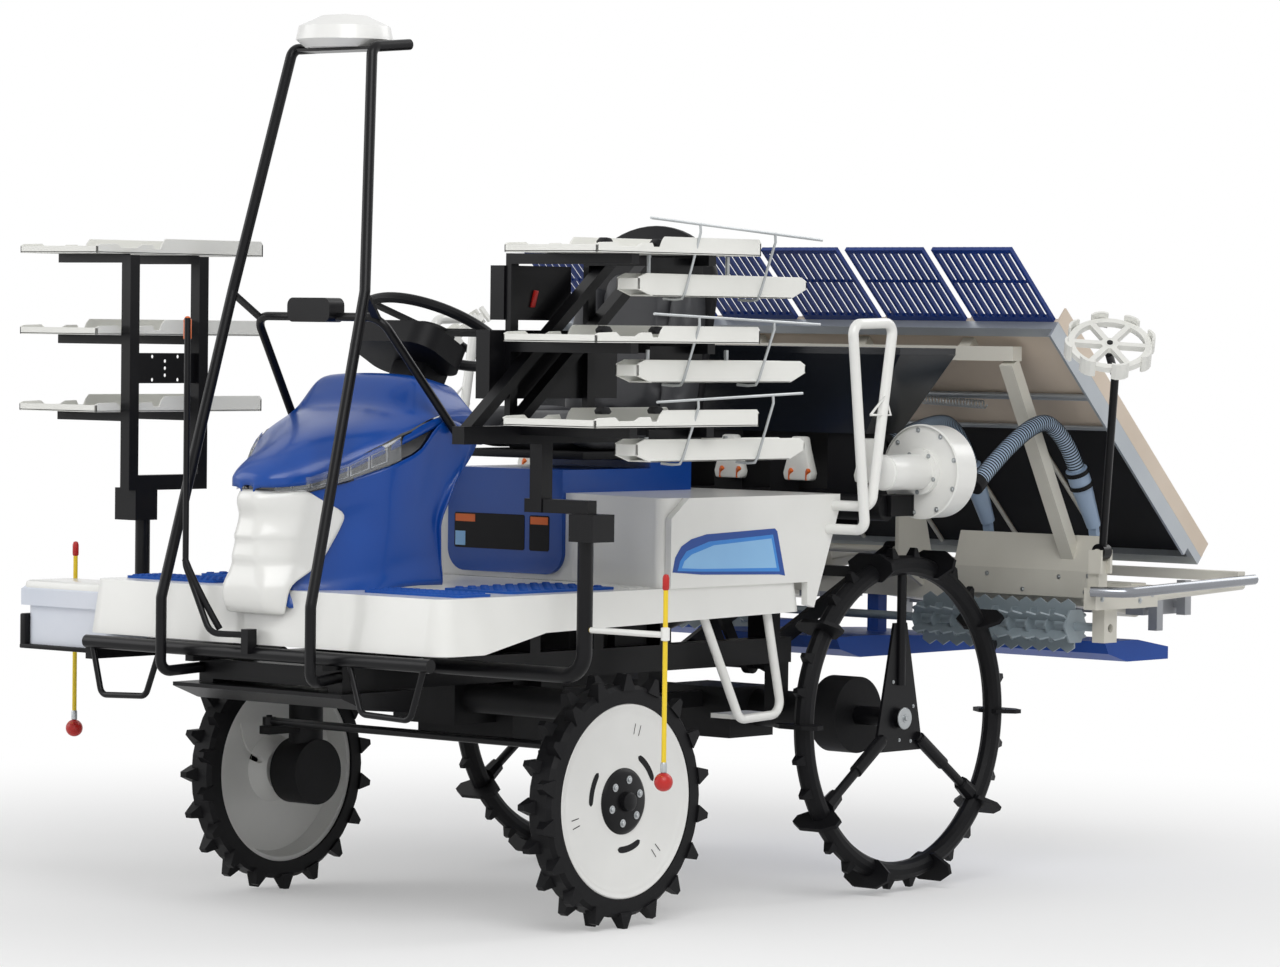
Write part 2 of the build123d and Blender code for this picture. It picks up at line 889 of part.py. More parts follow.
# Front right tank and its bracket
with BuildPart() as front_tank:
    block(-1000, -670, -560, -410, 660, 770)
    fillet(front_tank.edges().filter_by(Axis.Z), 25)
    block(-1010, -660, -570, -400, 770, 835)
    chamfer(front_tank.faces().sort_by(Axis.Z)[-1].edges(), 22)
save(front_tank, "front_tank")

# Side guide poles with their rods
with BuildPart() as guide_poles:
    for s in (-1, 1):
        tube([at(s * pole_x, post_back, 440), at(s * pole_x, post_back, 910)], 0, 6)
        with BuildSketch(across(post_back)) as ball:
            with Locations((s * pole_x, 425)):
                Circle(16)
        extrude(ball.sketch, amount=16, both=True)
        tube([at(s * (post_x + post_r + clear), post_back, 783), at(s * pole_x, post_back, 783)], 0, 7)
save(guide_poles, "guide_poles")



# Steered knuckles with their final drives
for s, hand in ((1, "left"), (-1, "right")):
    with BuildPart() as knuckle:
        with BuildSketch(level(340)) as drop_case:
            with Locations((s * kingpin_x, 0)):
                Circle(46)
        extrude(drop_case.sketch, amount=180 - clear)
        x_in, x_out = sorted((s * drum_in, s * drum_out))
        pin(x_in, x_out, 0, front_tyre_r, drum_r)
        x_in, x_out = sorted((s * drum_out, s * (front_tread / 2 - 20 - clear)))
        pin(x_in, x_out, 0, front_tyre_r, stub_r)
        bar(at(s * kingpin_x, 0, tie_z - 24), at(s * kingpin_x, tie_back - 18, tie_z - 24), 36, 22)
        with BuildSketch(level(tie_z - 20)) as ball_pin:
            with Locations((s * kingpin_x, tie_back)):
                Circle(tie_pin_r)
        extrude(ball_pin.sketch, amount=36)
    save(knuckle, f"knuckle_{hand}")

# Tie rod between the two steering arms
with BuildPart() as tie_rod:
    pin(-kingpin_x + 12, kingpin_x - 12, tie_back, tie_z, 11)
    for x, fit in ((kingpin_x, link_fit), (-kingpin_x, clear)):
        with BuildSketch(level(tie_z - 11)) as eye:
            with Locations((x, tie_back)):
                Circle(18)
        extrude(eye.sketch, amount=22)
        with BuildSketch(level(tie_z - 14)) as bore:
            with Locations((x, tie_back)):
                Circle(tie_pin_r + fit)
        extrude(bore.sketch, amount=28, mode=Mode.SUBTRACT)
save(tie_rod, "tie_rod")

# Front wheels: pressed disc wheel and a tyre with two staggered rows of pointed lugs
for s, hand in ((1, "left"), (-1, "right")):
    wheel_x = s * front_tread / 2
    hub_axis = Axis(at(wheel_x, 0, front_tyre_r), (1, 0, 0))
    with BuildPart() as front_wheel:
        with BuildSketch(across(0)) as disc:
            with BuildLine():
                face = wheel_x + s * disc_out
                Polyline(
                    (wheel_x - s * 20, front_tyre_r),
                    (wheel_x - s * 20, front_tyre_r + 62),
                    (face, front_tyre_r + 92),
                    (face, front_tyre_r + 225),
                    (wheel_x - s * 30, front_tyre_r + 238),
                    (wheel_x - s * 30, front_tyre_r + front_rim_r - clear),
                    (wheel_x + s * 32, front_tyre_r + front_rim_r - clear),
                    (wheel_x + s * 32, front_tyre_r + 232),
                    (face + s * 6, front_tyre_r + 218),
                    (face + s * 6, front_tyre_r + 86),
                    (wheel_x + s * 2, front_tyre_r + 58),
                    (wheel_x + s * 2, front_tyre_r),
                    close=True,
                )
            make_face()
        revolve(disc.sketch, axis=hub_axis)
        with BuildSketch(side(wheel_x - 40)) as slots:
            with Locations((0, front_tyre_r)):
                for turn in (60, 180, 300):
                    SlotArc(CenterArc((0, 0), disc_slot_r, turn - disc_slot_span / 2, disc_slot_span), 16)
        extrude(slots.sketch, amount=80, mode=Mode.SUBTRACT)
    save(front_wheel, f"front_wheel_{hand}")
    with BuildPart() as front_tyre:
        with BuildSketch(side(wheel_x - front_tyre_w / 2)) as carcass:
            with Locations((0, front_tyre_r)):
                RegularPolygon(front_carcass_r, 2 * front_lugs)
        extrude(carcass.sketch, amount=front_tyre_w)
        chamfer(front_tyre.edges().filter_by(Axis.X, reverse=True), 10)
        with BuildSketch(side(wheel_x - front_tyre_w / 2)) as seat:
            with Locations((0, front_tyre_r)):
                Circle(front_rim_r)
        extrude(seat.sketch, amount=front_tyre_w, mode=Mode.SUBTRACT)
        for row, reach in ((0, 1), (1, -1)):
            for i in range(front_lugs):
                turn = (i + row / 2) * 360 / front_lugs
                root = Plane(
                    origin=hub_axis.position,
                    x_dir=(1, 0, 0),
                    z_dir=(0, sin(radians(turn)), cos(radians(turn))),
                )
                with BuildSketch(root.offset(front_carcass_r - 14)) as foot:
                    with Locations((reach * 22, 0)):
                        Rectangle(44, 46)
                with BuildSketch(root.offset(front_tyre_r)) as tip:
                    with Locations((reach * 30, 0)):
                        Rectangle(22, 14)
                loft(sections=[foot.sketch, tip.sketch])
    save(front_tyre, f"front_tyre_{hand}")

# Rear wheels: tube ring with paddles, and the spider of plate, spokes and stub axle
for s, hand in ((1, "left"), (-1, "right")):
    wheel_x = s * rear_tread / 2
    hub = at(wheel_x, wheelbase, rear_wheel_r)
    hub_axis = Axis(hub, (1, 0, 0))
    with BuildPart() as rear_ring:
        with BuildSketch(across(wheelbase)) as section:
            with Locations((wheel_x, rear_wheel_r + rear_tube_mean_r)):
                RegularPolygon(rear_tube_r, 12, rotation=15)
        revolve(section.sketch, axis=hub_axis)
        for i in range(rear_paddles):
            turn = radians(i * 360 / rear_paddles + 18)
            out = Vector(0, sin(turn), cos(turn))
            paddle = Plane(origin=hub + out * (rear_tube_mean_r - 22), x_dir=(1, 0, 0), z_dir=out)
            reach = rear_wheel_r - rear_tube_mean_r + 22
            along = Plane(origin=paddle.origin, x_dir=(1, 0, 0), z_dir=Vector(1, 0, 0).cross(out))
            with BuildSketch(along) as blade:
                Polygon(*paddle_outline(reach), align=None)
            extrude(blade.sketch, amount=paddle_thick / 2, both=True)
            for part_turn in (0.33, 0.67):
                lug_turn = turn + part_turn * radians(360 / rear_paddles)
                out = Vector(0, sin(lug_turn), cos(lug_turn))
                lug = Plane(origin=hub + out * (rear_tube_mean_r + 14), x_dir=(1, 0, 0), z_dir=out)
                with BuildSketch(lug) as foot:
                    Rectangle(36, 34)
                with BuildSketch(lug.offset(34)) as tip:
                    Rectangle(16, 12)
                loft(sections=[foot.sketch, tip.sketch])
    save(rear_ring, f"rear_ring_{hand}")
    with BuildPart() as rear_spider:
        x_in, x_out = sorted((wheel_x - s * 10, wheel_x - s * 2))
        with BuildSketch(side(x_in)) as plate:
            with Locations((wheelbase, rear_wheel_r)):
                Polygon((-105, -90), (105, -90), (28, 260), (-28, 260), align=None)
        extrude(plate.sketch, amount=x_out - x_in)
        for turn in (0, 125, 235):
            out = Vector(0, sin(radians(turn)), cos(radians(turn)))
            spoke_end = rear_tube_mean_r - rear_tube_r * cos(radians(15)) - clear
            tube([hub + out * 90, hub + out * spoke_end], 0, 13)
        x_in, x_out = sorted((s * (470 + clear), wheel_x + s * 14))
        pin(x_in, x_out, wheelbase, rear_wheel_r, 26)
    save(rear_spider, f"rear_spider_{hand}")

# Lift arms: lower and upper pairs, pinned at the frame and at the hitch
link_dir = Vector(0, link_run, link_rise)
for node, arm_x, z0, brace_at in (
    ("lower_link", lower_arm_x, link_low_z, (0.12, 0.8)),
    ("upper_link", upper_arm_x, link_low_z + link_gap, (0.5, 0.85)),
):
    with BuildPart() as link:
        start = at(0, link_back, z0)
        end = start + link_dir
        for s in (-1, 1):
            shift = Vector(s * arm_x, 0, 0)
            bar(start + shift, end + shift, 16, 44)
            for eye_back, eye_z in ((link_back, z0), (hitch_back, z0 + link_rise)):
                pin(s * arm_x - 12, s * arm_x + 12, eye_back, eye_z, 26)
        across_arms = Vector(arm_x, 0, 0)
        for share in brace_at:
            brace = start + link_dir * share
            bar(brace - across_arms, brace + across_arms, 30, 30, (0, 1, 0))
        if node == "lower_link":
            for x in (-26, 26):
                horn_foot = at(x, link_back + link_run * brace_at[0], z0 + link_rise * brace_at[0])
                bar(horn_foot, at(x, horn_back, horn_z + 14), 12, 36)
            pin(-32, 32, horn_back, horn_z, 9)
        for eye_back, eye_z in ((link_back, z0), (hitch_back, z0 + link_rise)):
            pin(-arm_x - 20, arm_x + 20, eye_back, eye_z, link_pin_r + link_fit, Mode.SUBTRACT)
    save(link, node)

# Lift cylinder between the frame and the lower arms' horn
barrel_line = (horn_rest - cylinder_foot).normalized()
with BuildPart() as lift_barrel:
    tube([cylinder_foot + barrel_line * 18, cylinder_foot + barrel_line * 205], 0, 30)
    pin(-22, 22, cylinder_back, cylinder_z, 24)
    pin(-24, 24, cylinder_back, cylinder_z, link_pin_r + link_fit, Mode.SUBTRACT)
    bore_start = cylinder_foot + barrel_line * 60
    with BuildSketch(Plane(origin=bore_start, x_dir=(1, 0, 0), z_dir=barrel_line)) as bore:
        Circle(15 + link_fit)
    extrude(bore.sketch, amount=160, mode=Mode.SUBTRACT)
save(lift_barrel, "lift_barrel")

with BuildPart() as lift_rod:
    tube([cylinder_foot + barrel_line * 66, horn_rest - barrel_line * 20], 0, 15)
    pin(-16, 16, horn_back, horn_z, 26)
    pin(-18, 18, horn_back, horn_z, 20, Mode.SUBTRACT)
save(lift_rod, "lift_rod")

# Planting frame: hitch cheeks with pins, main beam, posts and the top beam
with BuildPart() as planting_frame:
    for s in (-1, 1):
        with BuildSketch(side(s * (hitch_x + 12))) as cheek:
            with BuildLine():
                Polyline(
                    (hitch_back - 35, hitch_z - 35),
                    (beam_back + 20, beam_z - beam_size / 2),
                    (beam_back + 20, beam_z + beam_size / 2),
                    (hitch_back + 45, hitch_z + link_gap + 40),
                    (hitch_back - 35, hitch_z + link_gap + 40),
                    close=True,
                )
            make_face()
        extrude(cheek.sketch, amount=6, both=True)
    pin(-hitch_x - 16, hitch_x + 16, hitch_back, hitch_z, link_pin_r)
    pin(-hitch_x - 16, hitch_x + 16, hitch_back, hitch_z + link_gap, link_pin_r)
    bar(at(-920, beam_back, beam_z), at(920, beam_back, beam_z), beam_size, beam_size, (0, 1, 0))
    bar(at(-742, top_beam_back, top_beam_z), at(742, top_beam_back, top_beam_z), 40, 40, (0, 1, 0))
    for x in (-560, -190, 190, 560):
        shoe = at(x, top_beam_back, top_beam_z)
        bar(shoe, shoe + stage_normal * (45 - 2 * clear), 40, 30)
    for x in (-720, 720):
        bar(at(x, beam_back, beam_z + 20), at(x, 1500, 1445), 44, 36)
    for x in (-940, 940):
        bar(at(x, 1590, 800), at(x, 1886, 800), 40, 60)
        bar(at(x, marker_back, 800), at(x, marker_back, 905), 36, 40)
    for s in (-1, 1):
        x_in, x_out = sorted((s * (marker_x - 25), s * (marker_x + 16)))
        block(x_in, x_out, marker_back - 30, marker_back - 20 - clear, 870, marker_z + 5)
        block(x_in, x_out, marker_back + 15 + clear, marker_back + 25, 870, marker_z + 5)
        with BuildSketch(across(marker_back + 25)) as marker_pin:
            with Locations((s * marker_x, marker_z)):
                Circle(8)
        extrude(marker_pin.sketch, amount=55)
    for i in range(3):
        x = (i - 1) * 2 * row_pitch
        bar(at(x, beam_back + 35, beam_z - 5), at(x, rotor_back, rotor_z), 60, 66)
        pin(x - 30, x + 30, rotor_back, rotor_z, 40)
    for x in (-300, 300):
        bar(at(x, beam_back, beam_z + 20), at(x, 2150, 850), 30, 24)
    bar(at(-1060, 2150, 850), at(1060, 2150, 850), 36, 28, (0, 1, 0))
    for s in (-1, 1):
        tube([at(s * 940, 1700, 790), at(s * 940, 2330, 815)], 0, 13)
        x_in, x_out = sorted((s * 330, s * 820))
        bar(at(s * 575, 1779, 862), at(s * 575, 1812, 962), 490, 5)
        block(x_in, x_out, 1776, 1782, 790, 864)
        for x in (s * 360, s * 790):
            block(x - 15, x + 15, 1782, beam_back, beam_z - 20, beam_z + 20)
        x_in, x_out = sorted((s * 900, s * 940))
        block(x_in, x_out, leveller_back - 30, leveller_back + 30, leveller_z - 40, beam_z - 30)
    pin(-950, 950, leveller_back, leveller_z, 12 + link_fit, Mode.SUBTRACT)
save(planting_frame, "planting_frame")

# Funnels behind the guards and the two feed hoses that show
with BuildPart() as funnels:
    for x in funnel_x:
        top = at(x, funnel_back, funnel_top)
        low = at(x, funnel_back + 88, funnel_top - 160)
        line = (low - top).normalized()
        with BuildSketch(Plane(origin=top, x_dir=(1, 0, 0), z_dir=line)) as mouth:
            Circle(31)
        extrude(mouth.sketch, amount=52)
        with BuildSketch(Plane(origin=top + line * 50, x_dir=(1, 0, 0), z_dir=line)) as wide_end:
            Circle(30)
        with BuildSketch(Plane(origin=low, x_dir=(1, 0, 0), z_dir=line)) as narrow_end:
            Circle(20)
        loft(sections=[wide_end.sketch, narrow_end.sketch])
        bar(low - line * 6, at(x, beam_back, beam_top + 8), 26, 16)
        block(x - 13, x + 13, beam_back - 14, beam_back + 14, beam_top + clear, beam_top + 10)
save(funnels, "funnels")

with BuildPart() as feed_hoses:
    for points, radii in feed_routes:
        with BuildLine() as route:
            FilletPolyline(*[at(*point) for point in points], radius=radii)
        with BuildSketch(Plane(origin=route.line @ 0, z_dir=route.line % 0)) as section:
            Circle(hose_r)
        sweep(sections=section.sketch, path=route.line)
save(feed_hoses, "feed_hoses")

# Levelling rotor ahead of the floats, with star shaped discs
with BuildPart() as leveller:
    pin(-919, 919, leveller_back, leveller_z, 12)
    for s in (-1, 1):
        for i in range(9):
            x = s * (292 + i * 66)
            with BuildSketch(side(x - 3)) as star:
                with Locations((leveller_back, leveller_z)):
                    RegularPolygon(leveller_r - 22, 6)
            extrude(star.sketch, amount=6)
        for i in range(6):
            out = Vector(0, sin(radians(60 * i)), cos(radians(60 * i)))
            root = at(s * 292, leveller_back, leveller_z) + out * 30
            with BuildSketch(Plane(origin=root, x_dir=(s, 0, 0), z_dir=Vector(s, 0, 0).cross(out))) as blade:
                with BuildLine():
                    Polyline((0, 0), *saw_edge(), (528, 0), close=True)
                make_face()
            extrude(blade.sketch, amount=2.5, both=True)
save(leveller, "leveller")

# Floats
with BuildPart() as floats:
    for x, half, back0, back1 in ((0, 250, 1345, 2120), (615, 235, 1790, 2100), (-615, 235, 1790, 2100)):
        with BuildSketch(side(x - half)) as hull:
            with BuildLine():
                Polyline(
                    (back0, float_low + float_h),
                    (back0 + 20, float_low + 25),
                    (back0 + 110, float_low),
                    (back1, float_low),
                    (back1, float_low + 35),
                    (back0 + 160, float_low + float_h),
                    close=True,
                )
            make_face()
        extrude(hull.sketch, amount=2 * half)
        block(x - 20, x + 20, beam_back - 20, beam_back + 20, float_low + 30, beam_z - beam_size / 2)
save(floats, "floats")

# Seedling stage: sloped boards with dividers, its frame, and the six slatted racks
stage_plane = Plane(origin=at(0, stage_top_back, stage_top_z), x_dir=(1, 0, 0), z_dir=stage_normal)
with BuildPart() as stage_board_piece:
    with BuildSketch(stage_plane) as board:
        with Locations((0, stage_long / 2)):
            Rectangle(2 * stage_half, stage_long)
    extrude(board.sketch, amount=stage_board)
    with BuildSketch(stage_plane.offset(stage_board)) as dividers:
        for i in range(rows + 1):
            with Locations(((i - rows / 2) * (2 * stage_half - 8) / rows, stage_long / 2)):
                Rectangle(6, stage_long)
    extrude(dividers.sketch, amount=divider_h)
save(stage_board_piece, "seedling_stage")

with BuildPart() as stage_frame:
    for y in (16, stage_long - 16):
        with BuildSketch(stage_plane.offset(-26)) as rail:
            with Locations((0, y)):
                Rectangle(2 * stage_half, 32)
        extrude(rail.sketch, amount=26 - clear)
    for s in (-1, 1):
        with BuildSketch(stage_plane.offset(-26)) as edge:
            with Locations((s * (stage_half - 10), stage_long / 2)):
                Rectangle(20, stage_long)
        extrude(edge.sketch, amount=26 - clear)
        with BuildSketch(stage_plane.offset(-52)) as lip:
            with Locations((s * (stage_half - 4), (stage_long - 70) / 2)):
                Rectangle(8, stage_long - 70)
        extrude(lip.sketch, amount=52 - clear)
save(stage_frame, "stage_frame")

with BuildPart() as stage_racks:
    for i in range(rows):
        x = (i - (rows - 1) / 2) * row_pitch
        with BuildSketch(stage_plane) as slats:
            for j in range(11):
                with Locations((x - 130 + j * 26, -grid_long / 2 - clear)):
                    Rectangle(9, grid_long)
            for y, deep in ((-grid_long + 7, 14), (-9, 18)):
                with Locations((x, y)):
                    Rectangle(269, deep)
        extrude(slats.sketch, amount=12)
save(stage_racks, "stage_racks")

# Rotary planting arms, one beside each row, two on a case
with BuildPart() as planting_rotors:
    for i in range(rows):
        x = (i - (rows - 1) / 2) * row_pitch
        s = 1 if i % 2 else -1
        case_x = x - s * row_pitch / 2
        x_in, x_out = sorted((case_x + s * (30 + clear), case_x + s * 60))
        pin(x_in, x_out, rotor_back, rotor_z, 20)
        x_in, x_out = sorted((case_x + s * 60, case_x + s * 120))
        block(x_in, x_out, rotor_back - 90, rotor_back + 90, rotor_z - 28, rotor_z + 28)
        x_in, x_out = sorted((case_x + s * 135, case_x + s * 165))
        block(x_in, x_out, rotor_back - 85, rotor_back - 55, rotor_z - 70, rotor_z + 30)
        block(x_in, x_out, rotor_back + 55, rotor_back + 85, rotor_z - 30, rotor_z + 70)
        x_in, x_out = sorted((case_x + s * 120, case_x + s * 135))
        block(x_in, x_out, rotor_back - 80, rotor_back - 60, rotor_z - 10, rotor_z + 10)
        block(x_in, x_out, rotor_back + 60, rotor_back + 80, rotor_z - 10, rotor_z + 10)
save(planting_rotors, "planting_rotors")

# Side markers: folding arm and the star wheel on its end
for s, hand in ((1, "left"), (-1, "right")):
    star = at(s * star_x, star_back, star_z)
    star_axis = Vector(s * 0.39, -0.44, 0.81)
    with BuildPart() as marker_arm:
        foot = at(s * marker_x, marker_back, marker_z)
        tube([foot, at(s * (star_x - 50), star_back + 98, star_z - 82), star - star_axis * 26], 40, 11)
        with BuildSketch(across(marker_back + 15)) as boss:
            with Locations((s * marker_x, marker_z)):
                Circle(22)
        extrude(boss.sketch, amount=35)
        with BuildSketch(across(marker_back + 16)) as bore:
            with Locations((s * marker_x, marker_z)):
                Circle(8 + link_fit)
        extrude(bore.sketch, amount=37, mode=Mode.SUBTRACT)
        with BuildSketch(Plane(origin=star - star_axis * 34, z_dir=star_axis)) as star_pin:
            Circle(8)
        extrude(star_pin.sketch, amount=46)
    save(marker_arm, f"marker_arm_{hand}")
    with BuildPart() as star_wheel:
        star_plane = Plane(origin=star, z_dir=star_axis)
        with BuildSketch(star_plane.offset(-8)) as ring:
            Circle(star_r)
            Circle(star_r - 18, mode=Mode.SUBTRACT)
            for i in range(6):
                with Locations(Location((0, 0), 60 * i)):
                    with Locations((star_r / 2, 0)):
                        Rectangle(star_r - 8, 16)
            Circle(24)
        extrude(ring.sketch, amount=16)
        with BuildSketch(star_plane.offset(-24)) as pads:
            for i in range(star_pads):
                turn = 360 / star_pads * i
                place = (star_r * cos(radians(turn)), star_r * sin(radians(turn)))
                with Locations(Location(place, turn)):
                    Polygon(*cup_outline, align=None)
        extrude(pads.sketch, amount=48)
        with BuildSketch(star_plane.offset(-10)) as bore:
            Circle(8 + link_fit)
        extrude(bore.sketch, amount=20, mode=Mode.SUBTRACT)
    save(star_wheel, f"star_wheel_{hand}")
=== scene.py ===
import math
import bpy
import bmesh
from mathutils import Matrix, Vector


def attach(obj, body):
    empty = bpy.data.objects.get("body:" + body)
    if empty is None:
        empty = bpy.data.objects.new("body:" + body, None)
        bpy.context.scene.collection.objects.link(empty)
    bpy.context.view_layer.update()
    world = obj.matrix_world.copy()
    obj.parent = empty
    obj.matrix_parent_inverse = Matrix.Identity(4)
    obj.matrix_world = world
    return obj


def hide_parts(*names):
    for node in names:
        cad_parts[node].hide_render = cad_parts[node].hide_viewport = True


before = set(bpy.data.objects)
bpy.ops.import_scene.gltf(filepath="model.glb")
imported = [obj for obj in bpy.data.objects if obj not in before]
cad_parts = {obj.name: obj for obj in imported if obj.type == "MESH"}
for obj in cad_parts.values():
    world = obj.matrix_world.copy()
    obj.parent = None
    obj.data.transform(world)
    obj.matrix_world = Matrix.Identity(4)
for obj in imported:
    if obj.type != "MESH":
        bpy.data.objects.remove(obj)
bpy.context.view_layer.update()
print("frame loaded")

frontAxleY = -0.78  # the front axle in the frame, as the CAD has it
hands = ((1, "Left"), (-1, "Right"))
lying = ((1, 0, 0), (0, 1, 0))  # planes for plates: seen from above, from the side, from the front
sideOn = ((0, 1, 0), (0, 0, 1))
facing = ((1, 0, 0), (0, 0, 1))
upward = (0, 0, 1)
forward = (0, -1, 0)


def at(x, back, z):
    # metres to the left, back from the front axle and up
    return Vector((x, frontAxleY + back, z))


def shown(name, data):
    obj = bpy.data.objects.new(name, data)
    bpy.context.scene.collection.objects.link(obj)
    return obj


# camera, fitted to the picture
view = {
    "place": (8.8547, -9.5084, 1.5382),
    "right": (0.75123, 0.65993, 0.01197),
    "up": (-0.03364, 0.02016, 0.99923),
    "lens": 139.34,
    "shift": (0.0390, 0.0198),
    "reach": 100,
}


def makeCamera():
    data = bpy.data.cameras.new("camera")
    data.lens = view["lens"]
    data.sensor_width = 36
    data.shift_x, data.shift_y = view["shift"]
    data.clip_end = view["reach"]
    camera = shown("camera", data)
    right = Vector(view["right"]).normalized()
    up = Vector(view["up"]).normalized()
    turn = Matrix((right, up, right.cross(up))).transposed().to_4x4()
    camera.matrix_world = Matrix.Translation(at(*view["place"])) @ turn
    bpy.context.scene.camera = camera
    bpy.context.scene.view_settings.view_transform = "Standard"


makeCamera()
print("camera placed")


def addNode(tree, kind, settings=None, sockets=None):
    # a node with its settings; a socket gets a value, or the output of another node
    node = tree.nodes.new(kind)
    for key, value in (settings or {}).items():
        setattr(node, key, value)
    for key, value in (sockets or {}).items():
        if isinstance(value, bpy.types.NodeSocket):
            tree.links.new(value, node.inputs[key])
        else:
            node.inputs[key].default_value = value
    return node


def picturingRays(tree):
    # the rays of the camera and those that mirror or pass through a surface
    path = addNode(tree, "ShaderNodeLightPath").outputs
    either = {"operation": "MAXIMUM"}
    mirrored = addNode(tree, "ShaderNodeMath", either, {0: path["Is Camera Ray"], 1: path["Is Glossy Ray"]})
    passed = addNode(tree, "ShaderNodeMath", either, {0: mirrored.outputs[0], 1: path["Is Transmission Ray"]})
    return passed.outputs[0]


# floor, backdrop and lamps
studio = {
    "floor": (0.90, 0.90, 0.90),
    "floorRough": 0.9,
    "floorSize": 60,
    "fade": (1.7, 4.2),  # the floor turns white between these distances
    "fadeStart": 0.3,
    "world": 0.55,
    "aim": (0, 0, 0.8),
    "lampSize": 5.0,
    "lamps": {"key": ((5.5, -5.0, 6.5), 380), "fill": ((-6.5, -5.5, 4.0), 150), "back": ((2.0, 7.0, 6.0), 200)},
}


def makeWorld():
    world = bpy.data.worlds.new("studio")
    bpy.context.scene.world = world
    world.use_nodes = True
    tree = world.node_tree
    tree.nodes.clear()
    lit = addNode(tree, "ShaderNodeBackground", sockets={"Strength": studio["world"]})
    white = addNode(tree, "ShaderNodeBackground", sockets={"Color": (1, 1, 1, 1), "Strength": 1.0})
    mix = addNode(tree, "ShaderNodeMixShader", sockets={
        0: picturingRays(tree), 1: lit.outputs[0], 2: white.outputs[0]})
    addNode(tree, "ShaderNodeOutputWorld", sockets={0: mix.outputs[0]})


def makeLamps():
    for name, (place, power) in studio["lamps"].items():
        data = bpy.data.lights.new(name, "AREA")
        data.size = studio["lampSize"]
        data.energy = power
        lamp = shown(name, data)
        lamp.location = place
        lamp.rotation_euler = (Vector(studio["aim"]) - lamp.location).to_track_quat("-Z", "Y").to_euler()


def makeFloor():
    half = studio["floorSize"] / 2
    mesh = bpy.data.meshes.new("floorSheet")
    mesh.from_pydata([(-half, -half, 0), (half, -half, 0), (half, half, 0), (-half, half, 0)], [], [(0, 1, 2, 3)])
    mat = bpy.data.materials.new("paleFloor")
    mat.use_nodes = True
    tree = mat.node_tree
    shader = tree.nodes["Principled BSDF"]
    shader.inputs["Base Color"].default_value = (*studio["floor"], 1)
    shader.inputs["Roughness"].default_value = studio["floorRough"]
    # away from the object the sheet turns to plain white, for the rays that picture it
    coords = addNode(tree, "ShaderNodeTexCoord")
    reach = addNode(tree, "ShaderNodeVectorMath", {"operation": "LENGTH"}, {0: coords.outputs["Object"]})
    fade = addNode(tree, "ShaderNodeMapRange", {"interpolation_type": "SMOOTHSTEP"}, {
        "Value": reach.outputs["Value"], "From Min": studio["fade"][0], "From Max": studio["fade"][1],
        "To Min": studio["fadeStart"]})
    share = addNode(tree, "ShaderNodeMath", {"operation": "MULTIPLY"}, {
        0: picturingRays(tree), 1: fade.outputs["Result"]})
    white = addNode(tree, "ShaderNodeEmission")
    blend = addNode(tree, "ShaderNodeMixShader", sockets={
        0: share.outputs[0], 1: shader.outputs[0], 2: white.outputs[0]})
    tree.links.new(blend.outputs[0], tree.nodes["Material Output"].inputs["Surface"])
    mesh.materials.append(mat)
    shown("floorSheet", mesh)


makeWorld()
makeLamps()
makeFloor()
print("studio ready")


def makeSurfaceGroup():
    # uneven colour and gloss with a fine relief, for paint and moulded plastic
    group = bpy.data.node_groups.new("surfaceVariation", "ShaderNodeTree")
    for name, kind, value in (
        ("Color", "Color", (0.5, 0.5, 0.5, 1)), ("Dark Color", "Color", (0.3, 0.3, 0.3, 1)),
        ("Cloud Scale", "Float", 3.0), ("Grain Scale", "Float", 400.0),
        ("Roughness", "Float", 0.4), ("Rough Spread", "Float", 0.1),
    ):
        socket = group.interface.new_socket(name, in_out="INPUT", socket_type="NodeSocket" + kind)
        socket.default_value = value
    for name, kind in (("Color", "Color"), ("Roughness", "Float"), ("Height", "Float")):
        group.interface.new_socket(name, in_out="OUTPUT", socket_type="NodeSocket" + kind)
    given = addNode(group, "NodeGroupInput").outputs
    place = addNode(group, "ShaderNodeTexCoord").outputs["Object"]
    cloud = addNode(group, "ShaderNodeTexNoise", sockets={
        "Vector": place, "Scale": given["Cloud Scale"], "Detail": 5})
    grain = addNode(group, "ShaderNodeTexNoise", sockets={
        "Vector": place, "Scale": given["Grain Scale"], "Detail": 2})
    ramp = addNode(group, "ShaderNodeValToRGB", sockets={"Fac": cloud.outputs["Fac"]})
    for stop, position in zip(ramp.color_ramp.elements, (0.35, 0.62)):
        stop.position = position
    mix = addNode(group, "ShaderNodeMix", {"data_type": "RGBA"}, {
        "Factor": ramp.outputs["Color"], "A": given["Dark Color"], "B": given["Color"]})
    gloss = addNode(group, "ShaderNodeMath", {"operation": "MULTIPLY_ADD"}, {
        0: grain.outputs["Fac"], 1: given["Rough Spread"], 2: given["Roughness"]})
    addNode(group, "NodeGroupOutput", sockets={
        "Color": mix.outputs["Result"], "Roughness": gloss.outputs[0], "Height": grain.outputs["Fac"]})
    return group


